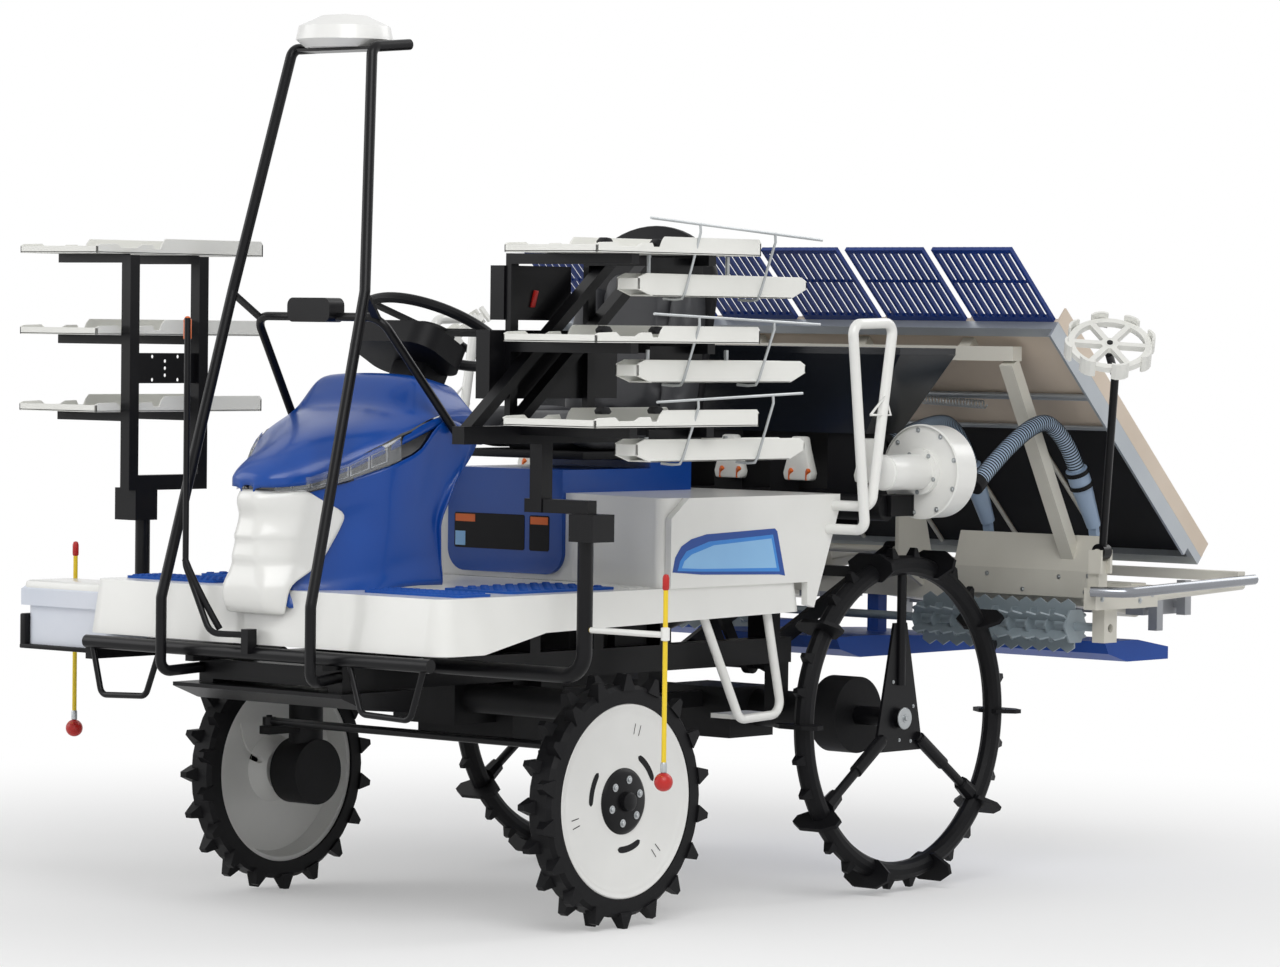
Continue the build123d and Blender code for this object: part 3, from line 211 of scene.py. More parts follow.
# colour, the darker colour in its clouds, roughness, then what isn't usual; slot is the slot of added pieces
finishes = {
    "frameBlack": ((0.006, 0.006, 0.007), (0.004, 0.004, 0.005), 0.26, dict(spec=0.18, coat=0.04, bump=0.03)),
    "driveCast": ((0.012, 0.012, 0.013), (0.007, 0.007, 0.008), 0.5, dict(spec=0.2, grain=220, bump=0.25)),
    "bodyWhite": ((0.83, 0.83, 0.80), (0.80, 0.80, 0.77), 0.24, dict(coat=0.35, bump=0.02, slot="body_white")),
    "bodyBlue": ((0.002, 0.062, 0.33), (0.002, 0.054, 0.30), 0.24,
                 dict(spec=0.35, coat=0.15, bump=0.02, slot="body_blue")),
    "matBlue": ((0.02, 0.10, 0.42), (0.015, 0.08, 0.36), 0.7, dict(spec=0.2, grain=260, bump=0.4, slot="mat_blue")),
    "visorBlack": ((0.012, 0.012, 0.016), (0.01, 0.01, 0.012), 0.08, dict(coat=1.0, bump=0.0, slot="visor_black")),
    "seatBlack": ((0.012, 0.012, 0.014), (0.009, 0.009, 0.01), 0.5,
                  dict(spec=0.16, grain=320, bump=0.35, slot="frame_black")),
    "trimBlack": ((0.008, 0.008, 0.009), (0.005, 0.005, 0.006), 0.42,
                  dict(spec=0.16, grain=500, bump=0.15, slot="trim_black")),
    "domeWhite": ((0.85, 0.85, 0.83), (0.82, 0.82, 0.8), 0.3, dict(coat=0.3, bump=0.02, slot="dome_white")),
    "trayWhite": ((0.82, 0.82, 0.78), (0.78, 0.78, 0.74), 0.42, dict(grain=300, bump=0.08, slot="tray_white")),
    "tankWhite": ((0.72, 0.75, 0.82), (0.66, 0.70, 0.78), 0.35, dict(grain=300)),
    "hopperDark": ((0.008, 0.01, 0.013), (0.006, 0.007, 0.01), 0.16, dict(spec=0.4, bump=0.02)),
    "tyre": ((0.007, 0.007, 0.008), (0.004, 0.004, 0.005), 0.45, dict(spec=0.16, grain=260, bump=0.3)),
    "wheelWhite": ((0.8, 0.8, 0.78), (0.76, 0.76, 0.74), 0.35, dict(bump=0.04, slot="wheel_white")),
    "spiderBlack": ((0.006, 0.006, 0.007), (0.004, 0.004, 0.005), 0.3, dict(spec=0.18, slot="spider_black")),
    "stageCream": ((0.68, 0.58, 0.48), (0.63, 0.53, 0.43), 0.4, dict(grain=200)),
    "stageSilver": ((0.46, 0.49, 0.52), (0.4, 0.43, 0.46), 0.38, dict(metal=0.7, bump=0.04, slot="stage_silver")),
    "rackBlue": ((0.003, 0.03, 0.19), (0.002, 0.022, 0.15), 0.32, dict(spec=0.3, slot="rack_blue")),
    "armGrey": ((0.36, 0.37, 0.39), (0.28, 0.29, 0.31), 0.42, dict(metal=0.4, bump=0.1)),
    "levelGrey": ((0.30, 0.35, 0.38), (0.25, 0.30, 0.33), 0.4, dict(bump=0.06)),
    "frameCream": ((0.66, 0.64, 0.57), (0.62, 0.6, 0.53), 0.38, dict(slot="stage_cream")),
    "floatBlue": ((0.003, 0.06, 0.34), (0.002, 0.05, 0.29), 0.4, dict(spec=0.3)),
    "poleYellow": ((0.85, 0.62, 0.02), (0.8, 0.56, 0.02), 0.3, dict(bump=0.02)),
    "starWhite": ((0.8, 0.8, 0.76), (0.76, 0.76, 0.72), 0.4, dict()),
    "chrome": ((0.75, 0.75, 0.77), (0.6, 0.6, 0.63), 0.12, dict(metal=1.0, bump=0.0)),
    "zinc": ((0.5, 0.52, 0.53), (0.4, 0.42, 0.43), 0.35, dict(metal=0.9, slot="stage_silver")),
    "seatVinyl": ((0.035, 0.036, 0.04), (0.026, 0.027, 0.03), 0.42,
                  dict(spec=0.35, grain=420, bump=0.5, slot="seat_black")),
    "hoseGrey": ((0.34, 0.44, 0.56), (0.28, 0.38, 0.50), 0.3, dict(slot="hose_grey")),
    "funnelPale": ((0.42, 0.55, 0.72), (0.38, 0.5, 0.68), 0.3, dict(clear=0.35, bump=0.02)),
    "lampGlass": ((0.9, 0.93, 0.96), (0.88, 0.91, 0.94), 0.02, dict(clear=0.9, bump=0.0, slot="visor_black")),
    "darkChrome": ((0.30, 0.31, 0.33), (0.25, 0.26, 0.28), 0.16, dict(metal=1.0, bump=0.0, slot="rod_chrome")),
    "redTip": ((0.5, 0.012, 0.008), (0.44, 0.01, 0.007), 0.3, dict(bump=0.0, slot="pole_yellow")),
    "orangeTip": ((0.75, 0.14, 0.01), (0.7, 0.12, 0.01), 0.35, dict(bump=0.0, slot="trim_black")),
    "skyBlue": ((0.03, 0.25, 0.72), (0.025, 0.22, 0.66), 0.3, dict(bump=0.0, slot="body_blue")),
    "paleBlue": ((0.28, 0.55, 0.85), (0.25, 0.5, 0.82), 0.3, dict(bump=0.0, slot="body_white")),
}
usual = {"metal": 0.0, "coat": 0.0, "spec": 0.5, "clear": 0.0, "grain": 700, "bump": 0.05,
         "cloud": 4.0, "spread": 0.12, "coatRough": 0.08, "relief": 0.001}


def makeFinish(name):
    color, dark, rough, special = finishes[name]
    spec = {**usual, **special}
    mat = bpy.data.materials.new(name)
    mat.use_nodes = True
    tree = mat.node_tree
    shader = tree.nodes["Principled BSDF"]
    surface = addNode(tree, "ShaderNodeGroup", {"node_tree": surfaceGroup}, {
        "Color": (*color, 1), "Dark Color": (*dark, 1), "Cloud Scale": spec["cloud"], "Grain Scale": spec["grain"],
        "Roughness": rough, "Rough Spread": spec["spread"]})
    tree.links.new(surface.outputs["Color"], shader.inputs["Base Color"])
    tree.links.new(surface.outputs["Roughness"], shader.inputs["Roughness"])
    for socket, key in (("Metallic", "metal"), ("Coat Weight", "coat"), ("Coat Roughness", "coatRough"),
                        ("Specular IOR Level", "spec"), ("Transmission Weight", "clear")):
        shader.inputs[socket].default_value = spec[key]
    if spec["bump"]:
        bump = addNode(tree, "ShaderNodeBump", sockets={
            "Strength": spec["bump"], "Distance": spec["relief"], "Height": surface.outputs["Height"]})
        tree.links.new(bump.outputs["Normal"], shader.inputs["Normal"])
    return mat


surfaceGroup = makeSurfaceGroup()
mats = {name: makeFinish(name) for name in finishes}
print("finishes made:", len(mats))

# which finish each CAD node wears
nodeFinish = {
    "frameBlack": "main_frame bumper skid_guard antenna_frame rack_left rack_right tie_rod lower_link upper_link "
                  "lift_barrel marker_arm_left marker_arm_right",
    "driveCast": "engine front_axle rear_axle knuckle_left knuckle_right",
    "bodyWhite": "floor rear_cowl side_panels grille handrails side_steps blower",
    "bodyBlue": "bonnet engine_cover",
    "matBlue": "floor_pads",
    "visorBlack": "visor",
    "seatBlack": "seat_cushion seat_back",
    "trimBlack": "dash steering_wheel metering_units air_duct",
    "domeWhite": "antenna_dome",
    "trayWhite": "seedling_trays",
    "tankWhite": "front_tank",
    "hopperDark": "hopper hopper_lid",
    "tyre": "front_tyre_left front_tyre_right rear_ring_left rear_ring_right",
    "wheelWhite": "front_wheel_left front_wheel_right",
    "spiderBlack": "rear_spider_left rear_spider_right",
    "stageCream": "seedling_stage",
    "stageSilver": "stage_frame",
    "rackBlue": "stage_racks",
    "armGrey": "planting_rotors",
    "levelGrey": "leveller",
    "frameCream": "planting_frame",
    "floatBlue": "floats",
    "poleYellow": "guide_poles",
    "starWhite": "star_wheel_left star_wheel_right",
    "chrome": "lift_rod",
    "hoseGrey": "feed_hoses",
    "funnelPale": "funnels",
}


def wear(obj, mat):
    for slot in obj.material_slots:
        slot.link = "OBJECT"
        slot.material = mat
    if not obj.material_slots:
        obj.data.materials.append(mat)


for finish, names in nodeFinish.items():
    for name in names.split():
        wear(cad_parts[name], mats[finish])
print("nodes dressed")


# small makers for added pieces
def carry(obj, mat, body="chassis"):
    # the finish and the body that the piece rides
    obj.data.materials.append(mats[mat])
    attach(obj, body)
    return obj


def settle(mesh, merge=0.0):
    # joins points that coincide, and turns the faces outward
    work = bmesh.new()
    work.from_mesh(mesh)
    if merge:
        bmesh.ops.remove_doubles(work, verts=work.verts, dist=merge)
    bmesh.ops.recalc_face_normals(work, faces=work.faces)
    work.to_mesh(mesh)
    work.free()


def addMesh(name, verts, faces, mat, body="chassis", smooth=False):
    mesh = bpy.data.meshes.new(name)
    mesh.from_pydata([tuple(v) for v in verts], [], faces)
    mesh.validate()
    settle(mesh)
    for face in mesh.polygons:
        face.use_smooth = smooth
    return carry(shown(name, mesh), mat, body)


def addRings(verts, faces, rings, capStart=True, capEnd=True):
    # joins rings of equally many points, and closes the ends
    start, n = len(verts), len(rings[0])
    for ring in rings:
        verts.extend(ring)
    for low in range(start, len(verts) - n, n):
        faces.extend((low + i, low + (i + 1) % n, low + n + (i + 1) % n, low + n + i) for i in range(n))
    if capStart:
        faces.append(tuple(range(start, start + n)))
    if capEnd:
        faces.append(tuple(range(len(verts) - n, len(verts))))


def gridFaces(rows, columns, closed=False, start=0):
    faces = []
    for r in range(rows if closed else rows - 1):
        low, high = start + r * columns, start + (r + 1) % rows * columns
        faces += [(low + c, low + c + 1, high + c + 1, high + c) for c in range(columns - 1)]
    return faces


def applied(obj):
    # bakes the modifiers into the mesh
    depsgraph = bpy.context.evaluated_depsgraph_get()
    baked = bpy.data.meshes.new_from_object(obj.evaluated_get(depsgraph))
    old = obj.data
    obj.modifiers.clear()
    obj.data = baked
    baked.name = old.name
    bpy.data.meshes.remove(old)
    return obj


def soften(obj, width, segments=2):
    # rounded edges; sharp only where the faces meet steeply
    edge = obj.modifiers.new("edge", "BEVEL")
    edge.width = width
    edge.segments = segments
    edge.limit_method = "ANGLE"
    edge.angle_limit = 0.6
    for face in obj.data.polygons:
        face.use_smooth = True
    applied(obj)
    obj.data.set_sharp_from_angle(angle=0.7)


def gridMesh(name, rows, mat, body="chassis", thick=0.0, level=0):
    # a sheet from rows of points
    obj = addMesh(name, [p for row in rows for p in row], gridFaces(len(rows), len(rows[0])), mat, body, smooth=True)
    if level:
        subdivision = obj.modifiers.new("subdivision", "SUBSURF")
        subdivision.levels = level
        subdivision.render_levels = level
    if thick:
        shell = obj.modifiers.new("shell", "SOLIDIFY")
        shell.thickness = thick
        shell.offset = -1
    if level or thick:
        applied(obj)
    return obj


def wire(name, points, radius, mat, body="chassis", curved=False):
    # a round bar or wire along points
    curve = bpy.data.curves.new(name, "CURVE")
    curve.dimensions = "3D"
    curve.bevel_depth = radius
    curve.bevel_resolution = 3
    curve.use_fill_caps = True
    spline = curve.splines.new("NURBS" if curved else "POLY")
    spline.points.add(len(points) - 1)
    for place, point in zip(spline.points, points):
        place.co = (*point, 1)
    if curved:
        spline.order_u = 3
        spline.use_endpoint_u = True
        spline.resolution_u = 8
    return carry(shown(name, curve), mat, body)


def plateMesh(name, outline, depth, place, plane, mat, bevel=0.0):
    # a flat plate from an outline in its own plane, pushed out along the plane's normal
    u, v = (Vector(side).normalized() for side in plane)
    n = u.cross(v).normalized()
    base = [Vector(place) + u * a + v * b for a, b in outline]
    verts, faces = [], []
    addRings(verts, faces, [base, [p + n * depth for p in base]])
    obj = addMesh(name, verts, faces, mat)
    if bevel:
        soften(obj, bevel)
    return obj


def square(axis):
    # an axis and two directions square to it
    axis = Vector(axis).normalized()
    side = axis.orthogonal().normalized()
    return axis, side, axis.cross(side)


def lathe(name, profile, centre, axis, mat, body="chassis", steps=48):
    # a turned piece from (radius, height) pairs along an axis
    axis, side, other = square(axis)
    verts = []
    for i in range(steps):
        angle = 2 * math.pi * i / steps
        out = side * math.cos(angle) + other * math.sin(angle)
        verts += [Vector(centre) + out * r + axis * h for r, h in profile]
    obj = addMesh(name, verts, gridFaces(steps, len(profile), True), mat, body, True)
    settle(obj.data, 0.00005)
    obj.data.set_sharp_from_angle(angle=0.6)
    return obj


boltShape = {"washer": (12, [(0.85, 0.0), (0.85, 0.12)]), "head": (6, [(0.5, 0.13), (0.5, 0.42), (0.4, 0.5)])}


def bolts(name, spots, body="chassis"):
    # hexagon heads on round washers: (place, direction, size across)
    verts, faces = [], []
    for place, direction, size in spots:
        axis, side, other = square(direction)
        for n, profile in boltShape.values():
            turns = [2 * math.pi * i / n for i in range(n)]
            addRings(verts, faces, [
                [Vector(place) + (side * math.cos(a) + other * math.sin(a)) * r * size + axis * h * size
                 for a in turns] for r, h in profile], capStart=False)
    return addMesh(name, verts, faces, "zinc", body)


def ease(a, b, x):
    t = min(1.0, max(0.0, (x - a) / (b - a)))
    return t * t * (3 - 2 * t)


def along(table, x):
    # straight reading between rows of a table
    if x <= table[0][0]:
        return table[0][1]
    for (x0, y0), (x1, y1) in zip(table, table[1:]):
        if x <= x1:
            return y0 + (y1 - y0) * (x - x0) / (x1 - x0)
    return table[-1][1]


# hood of the bonnet, on a prow shaped plan: by station, its half width, edge height and crown height
hood = {
    "edge": [(-0.728, 0.02), (-0.722, 0.06), (-0.69, 0.088), (-0.622, 0.122), (-0.55, 0.17), (-0.47, 0.222),
             (-0.425, 0.24), (-0.36, 0.252), (-0.30, 0.258), (-0.20, 0.262), (-0.16, 0.262)],
    "edgeZ": [(-0.728, 1.138), (-0.69, 1.139), (-0.622, 1.146), (-0.55, 1.177), (-0.47, 1.222), (-0.425, 1.243),
              (-0.346, 1.276), (-0.30, 1.294), (-0.20, 1.30), (-0.16, 1.296)],
    "crownZ": [(-0.728, 1.145), (-0.715, 1.165), (-0.68, 1.192), (-0.60, 1.232), (-0.51, 1.27), (-0.42, 1.302),
               (-0.36, 1.322), (-0.28, 1.334), (-0.16, 1.33)],
    "stations": [-0.728, -0.722, -0.71, -0.69, -0.66, -0.622, -0.585, -0.55, -0.51, -0.47, -0.425, -0.39, -0.362,
                 -0.345, -0.325, -0.308, -0.292, -0.27, -0.24, -0.20, -0.17, -0.16],
    "columns": 29,
    "round": (2.3, 0.62),  # powers of the crown's section
    "raise": 0.072,  # the step up before the dash, then from where to where it rises, narrows and falls
    "rise": (-0.362, -0.292), "narrow": (0.165, 0.252), "fall": (-0.27, -0.16),
    "top": 1.406,
    "lip": 0.02,
    "tip": (0, -0.002, 0.022),
    "thick": 0.004,
    "tail": ((0.05, 0.006), (0.15, 0.02)),  # drop and shift of the rows that close the back
    "tailTop": 1.395,
}


def hoodPoint(x, back, width):
    low = along(hood["edgeZ"], back)
    crown = along(hood["crownZ"], back)
    outer, inner = hood["round"]
    z = low + (crown - low) * max(0.0, 1 - min(1.0, abs(x) / max(width, 0.001)) ** outer) ** inner
    lift = ease(*hood["rise"], back) * (1 - ease(*hood["narrow"], abs(x)))
    z += hood["raise"] * lift * (1 - 0.25 * ease(*hood["fall"], back))
    return at(x, back, min(z, hood["top"]))


def makeHood():
    rows = []
    lip = Vector((0, 0, hood["lip"]))
    for back in hood["stations"]:
        width = along(hood["edge"], back)
        shares = [math.sin(math.pi / 2 * (2 * i / (hood["columns"] - 1) - 1)) for i in range(hood["columns"])]
        row = [hoodPoint(share * width, back, width) for share in shares]
        rows.append([row[0] - lip, *row, row[-1] - lip])
    last = rows[-1]
    rows.insert(0, [p - Vector(hood["tip"]) for p in rows[0]])
    # the row at the dash is copied down and back, cut off at a level
    for drop, shift in hood["tail"]:
        level = hood["tailTop"] - drop
        rows.append([Vector((p.x, p.y + shift, level - lip.z)) if p.z > level else p + Vector((0, shift, 0))
                     for p in last])
    gridMesh("bonnetHood", rows, "bodyBlue", thick=hood["thick"], level=1)


sidePanel = {
    "rows": [  # back, half width at the seam, at mid height and at the foot, then the seam's and the foot's height
        (-0.690, 0.045, 0.055, 0.098, 1.108, 0.812),
        (-0.650, 0.082, 0.094, 0.122, 1.109, 0.818),
        (-0.600, 0.122, 0.132, 0.150, 1.118, 0.828),
        (-0.550, 0.160, 0.160, 0.172, 1.136, 0.836),
        (-0.500, 0.202, 0.182, 0.188, 1.155, 0.842),
        (-0.455, 0.232, 0.212, 0.200, 1.172, 0.850),
        (-0.410, 0.244, 0.224, 0.208, 1.190, 0.864),
        (-0.355, 0.254, 0.230, 0.216, 1.212, 0.868),
        (-0.325, 0.258, 0.232, 0.222, 1.262, 0.868),
        (-0.290, 0.262, 0.234, 0.228, 1.288, 0.868),
        (-0.262, 0.264, 0.236, 0.230, 1.292, 0.868),
        (-0.215, 0.266, 0.250, 0.232, 1.276, 0.868),
        (-0.165, 0.268, 0.262, 0.234, 1.250, 0.868),
    ],
    "rear": [(0.868, -0.262), (0.93, -0.268), (1.03, -0.285), (1.13, -0.24), (1.22, -0.17), (1.3, -0.16)],
    "waist": 0.45,  # share of the height at which the mid width holds
    "steps": 14,
    "hollow": 0.014,  # pressed in between the seam and the foot, and further forward
    "hollowRun": ((0.2, 0.34), (0.86, 0.95)), "hollowBack": (-0.53, -0.47),
    "foot": 0.008, "footRun": (0.88, 0.94),
    "thick": 0.004,
}


def sideAcross(top, mid, foot, share):
    return along([(0, top), (sidePanel["waist"], mid), (1, foot)], share)


def makeSidePanels():
    upper, lower = sidePanel["hollowRun"]
    for s, hand in hands:
        rows = []
        for back, top, mid, foot, seam, low in sidePanel["rows"]:
            row = []
            for i in range(sidePanel["steps"] + 1):
                v = i / sidePanel["steps"]
                z = seam + (low - seam) * v
                x = sideAcross(top, mid, foot, v)
                x -= sidePanel["hollow"] * ease(*upper, v) * (1 - ease(*sidePanel["hollowBack"], back)) * (
                    1 - ease(*lower, v))
                x += sidePanel["foot"] * ease(*sidePanel["footRun"], v)
                row.append(at(s * x, min(back, along(sidePanel["rear"], z)), z))
            rows.append(row)
        gridMesh("bonnetSide" + hand, rows, "bodyBlue", thick=-sidePanel["thick"] * s, level=1)


def sideHalf(back, z):
    # half width of the side panels at a place
    top, mid, foot, seam, low = (along([(row[0], row[k]) for row in sidePanel["rows"]], back) for k in range(1, 6))
    return sideAcross(top, mid, foot, min(1.0, max(0.0, (seam - z) / (seam - low))))


nose = {
    "rows": [  # height, half width, how far the edge lies back, front line, flat half width
        (1.112, 0.108, -0.628, -0.722, 0.02),
        (1.100, 0.122, -0.612, -0.736, 0.02),
        (1.084, 0.135, -0.590, -0.738, 0.024),
        (1.066, 0.158, -0.560, -0.732, 0.026),
        (1.050, 0.170, -0.545, -0.722, 0.028),
        (1.030, 0.166, -0.552, -0.724, 0.03),
        (1.006, 0.160, -0.562, -0.733, 0.032),
        (0.992, 0.156, -0.568, -0.739, 0.034),
        (0.986, 0.154, -0.572, -0.730, 0.035),
        (0.962, 0.148, -0.583, -0.734, 0.038),
        (0.938, 0.140, -0.597, -0.740, 0.042),
        (0.930, 0.138, -0.601, -0.731, 0.044),
        (0.905, 0.128, -0.630, -0.736, 0.052),
        (0.884, 0.116, -0.670, -0.742, 0.062),
        (0.862, 0.112, -0.688, -0.746, 0.068),
        (0.832, 0.110, -0.692, -0.742, 0.068),
        (0.808, 0.106, -0.694, -0.730, 0.066),
        (0.800, 0.100, -0.690, -0.712, 0.062),
    ],
    "columns": 24,
    "spread": 0.9,
    "sweep": 1.25,
    "clear": 0.007,  # kept outside the side panels, whose front is here
    "sideFront": -0.692,
    "step": 0.001,
    "thick": 0.004,
}


def makeNose():
    rows = []
    step = nose["step"]
    for z, wide, edgeBack, front, flat in nose["rows"]:
        row = []
        for i in range(nose["columns"] + 1):
            s = 2 * i / nose["columns"] - 1
            x = math.copysign(wide * (abs(s) ** nose["spread"]), s)
            run = max(0.0, (abs(x) - flat) / (wide - flat))
            back = front + (edgeBack - front) * run ** nose["sweep"]
            while back > nose["sideFront"] and abs(x) < sideHalf(back, z) + nose["clear"]:
                x += math.copysign(step, x)
                back -= step
            row.append(at(x, back, z))
        rows.append(row)
    gridMesh("nosePanel", rows, "bodyWhite", thick=nose["thick"], level=1)


# black band behind the nose's top edge, then a lamp with pale cells behind clear glass on each side
lamp = {
    "plan": [(0.0, -0.716), (0.03, -0.712), (0.06, -0.69), (0.088, -0.655), (0.115, -0.618), (0.145, -0.58),
             (0.175, -0.54), (0.205, -0.495), (0.228, -0.455), (0.24, -0.42), (0.246, -0.39), (0.250, -0.355),
             (0.253, -0.325), (0.256, -0.295)],
    "low": [(0.0, 1.104), (0.115, 1.106), (0.175, 1.132), (0.228, 1.166), (0.246, 1.188), (0.250, 1.205),
            (0.253, 1.25), (0.256, 1.28)],
    "high": [(0.0, 1.142), (0.115, 1.148), (0.175, 1.184), (0.228, 1.235), (0.246, 1.264), (0.250, 1.28),
             (0.253, 1.292), (0.256, 1.30)],
    "bandRows": (0, 0.25, 0.5, 0.75, 1), "thick": 0.003,
    "cells": slice(2, 9), "cellRows": (0.24, 0.8), "cellProud": (0.004, -0.004),
    "cellRim": 0.08, "cellFloor": 0.45, "cellDeep": (0.012, 0.009),
    "glass": slice(2, 10), "glassRows": (0.1, 0.35, 0.65, 0.92), "glassProud": (0.008, -0.007),
}


def lampColumn(s, x, back, shares, proud=(0, 0)):
    # points up the band at a place of its plan
    low, high = along(lamp["low"], abs(x)), along(lamp["high"], abs(x))
    return [at(s * (x + proud[0]), back + proud[1], low + (high - low) * share) for share in shares]


def makeLampBand():
    line = [(-x, back) for x, back in reversed(lamp["plan"][1:])] + lamp["plan"]
    gridMesh("lampBand", [lampColumn(1, x, back, lamp["bandRows"]) for x, back in line], "visorBlack",
             thick=lamp["thick"])
    for s, hand in hands:
        verts, faces = [], []
        spots = lamp["plan"][lamp["cells"]]
        columns = [lampColumn(s, x, back, lamp["cellRows"], lamp["cellProud"]) for x, back in spots]
        for (low0, high0), (low1, high1) in zip(columns, columns[1:]):
            corners = [low0, high0, high1, low1]
            centre = (low0 + high0 + low1 + high1) / 4
            deep = Vector((-s * lamp["cellDeep"][0], lamp["cellDeep"][1], 0))
            addRings(verts, faces, [
                [c + (centre - c) * lamp["cellRim"] for c in corners],
                [c + (centre - c) * lamp["cellFloor"] + deep for c in corners]], capStart=False)
        addMesh("lampCells" + hand, verts, faces, "domeWhite")
        gridMesh("lampGlass" + hand, [lampColumn(s, x, back, lamp["glassRows"], lamp["glassProud"])
                                      for x, back in lamp["plan"][lamp["glass"]]], "lampGlass")


makeHood()
makeSidePanels()
makeNose()
makeLampBand()
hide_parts("bonnet")
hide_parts("grille")
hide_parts("visor")
print("bonnet shaped")


# front wheels: hub plate, bolts, pale facing with slots and slits, rolled edge; heights lie over the disc's face. The
# slots and slits are not cut: flat black sheets over the facing are painted shade, standing in for the dark seen
# through them
frontHub = {
    "x": 0.606, "z": 0.325, "face": 0.026,
    "plate": [(0.0, 0.03), (0.018, 0.03), (0.024, 0.026), (0.026, 0.012), (0.072, 0.010), (0.080, 0.006),
              (0.087, -0.001), (0.087, -0.006)],
    "bolts": {"count": 6, "turn": 18, "ring": 0.056, "height": 0.0102, "size": 0.0125},
    "shadeLift": 0.0013,  # height of the flat black sheets of painted shade that stand for the slots and slits
    "slits": {"groups": 3, "turn": 74, "apart": 0.055, "ring": 0.187, "half": 0.014, "width": 0.0012},
    "slots": {"middles": (42, 162, 282), "sweep": 42, "steps": 16, "ring": 0.124, "half": 0.0085, "tip": 0.0002},
    "facing": [(0.080, 0.0002), (0.0865, 0.0008), (0.2175, 0.0008), (0.2318, 0.0067)],
    "edge": [(0.2498, 0.0045), (0.2490, 0.0092), (0.246, 0.0112), (0.242, 0.0102), (0.238, 0.0070), (0.230, 0.0062)],
}


def radial(angle):
    return Vector((0, math.cos(angle), math.sin(angle)))


def makeFrontHubs():
    bolt, slit, slot = frontHub["bolts"], frontHub["slits"], frontHub["slots"]
    for s, hand in hands:
        hand = hand.lower()
        body = "front_wheel_" + hand
        out = Vector((s, 0, 0))
        centre = at(s * frontHub["x"], 0, frontHub["z"]) + out * frontHub["face"]
        shadeCentre = centre + out * frontHub["shadeLift"]
        lathe("hubPlate_" + hand, frontHub["plate"], centre, out, "spiderBlack", body)
        turns = [math.radians(360 / bolt["count"] * i + bolt["turn"]) for i in range(bolt["count"])]
        bolts("hubBolts_" + hand, [(centre + out * bolt["height"] + radial(a) * bolt["ring"], out, bolt["size"])
                                   for a in turns], body)
        # slits: flat black sheets over the facing, painted shade for the dark seen through the slits
        verts, faces = [], []
        for group in range(slit["groups"]):
            for shift in (-slit["apart"], slit["apart"]):
                angle = math.radians(360 / slit["groups"] * group + slit["turn"]) + shift
                across = Vector((0, -math.sin(angle), math.cos(angle)))
                faces += gridFaces(2, 2, start=len(verts))
                verts += [shadeCentre + radial(angle) * (slit["ring"] + r) + across * t
                          for r in (-slit["half"], slit["half"]) for t in (-slit["width"], slit["width"])]
        addMesh("discSlitShade_" + hand, verts, faces, "seatBlack", body)
        lathe("discFace_" + hand, frontHub["facing"], centre, out, "wheelWhite", body, steps=96)
        # slots: flat black sheets with rounded ends over the facing, painted shade for the dark seen through the slots
        verts, faces = [], []
        steps = slot["steps"]
        for middle in slot["middles"]:
            faces += gridFaces(steps + 1, 2, start=len(verts))
            for i in range(steps + 1):
                angle = math.radians(middle + slot["sweep"] * (i / steps - 0.5))
                share = abs(2 * i / steps - 1)
                half = slot["half"] * math.sqrt(max(0.0, 1 - share ** 6)) + slot["tip"]
                verts += [shadeCentre + radial(angle) * (slot["ring"] + r) for r in (-half, half)]
        addMesh("discSlotShade_" + hand, verts, faces, "seatBlack", body)
        lathe("discEdge_" + hand, frontHub["edge"], centre, out, "wheelWhite", body, steps=96)


# rear wheels: washer and bolt on the plate, small bolts around it, sleeves and feet on two spokes
rearHub = {
    "x": 0.615, "back": 1.17, "z": 0.475,
    "washer": [(0, 0.018), (0.028, 0.018), (0.030, 0.0165), (0.030, 0.0135)],
    "bolt": (0.018, 0.013),
    "plateBolts": [(-0.03, 0.10), (0.06, 0.03), (-0.07, -0.055), (0.0, -0.06), (0.05, -0.065)],
    "plateBolt": (-0.002, 0.006),
    "spokes": (125, 235),
    "sleeve": [(0.0135, 0.10), (0.018, 0.102), (0.018, 0.235), (0.0135, 0.237)],
    "foot": [(0.0135, 0.335), (0.021, 0.338), (0.024, 0.386), (0.0135, 0.39)],
}


def makeRearHubs():
    for s, hand in hands:
        hand = hand.lower()
        body = "rear_wheel_" + hand
        hub = at(s * rearHub["x"], rearHub["back"], rearHub["z"])
        out = Vector((s, 0, 0))
        lathe("hubWasher_" + hand, rearHub["washer"], hub, out, "zinc", body)
        height, size = rearHub["bolt"]
        spots = [(hub + out * height, out, size)]
        height, size = rearHub["plateBolt"]
        spots += [(hub + out * height + Vector((0, y, z)), out, size) for y, z in rearHub["plateBolts"]]
        bolts("spiderBolts_" + hand, spots, body)
        for i, turn in enumerate(rearHub["spokes"]):
            angle = math.radians(turn)
            line = Vector((0, math.sin(angle), math.cos(angle)))
            lathe(f"spokeSleeve_{hand}{i}", rearHub["sleeve"], hub, line, "spiderBlack", body, steps=24)
            lathe(f"spokeFoot_{hand}{i}", rearHub["foot"], hub, line, "spiderBlack", body, steps=8)


makeFrontHubs()
makeRearHubs()
print("wheels dressed")


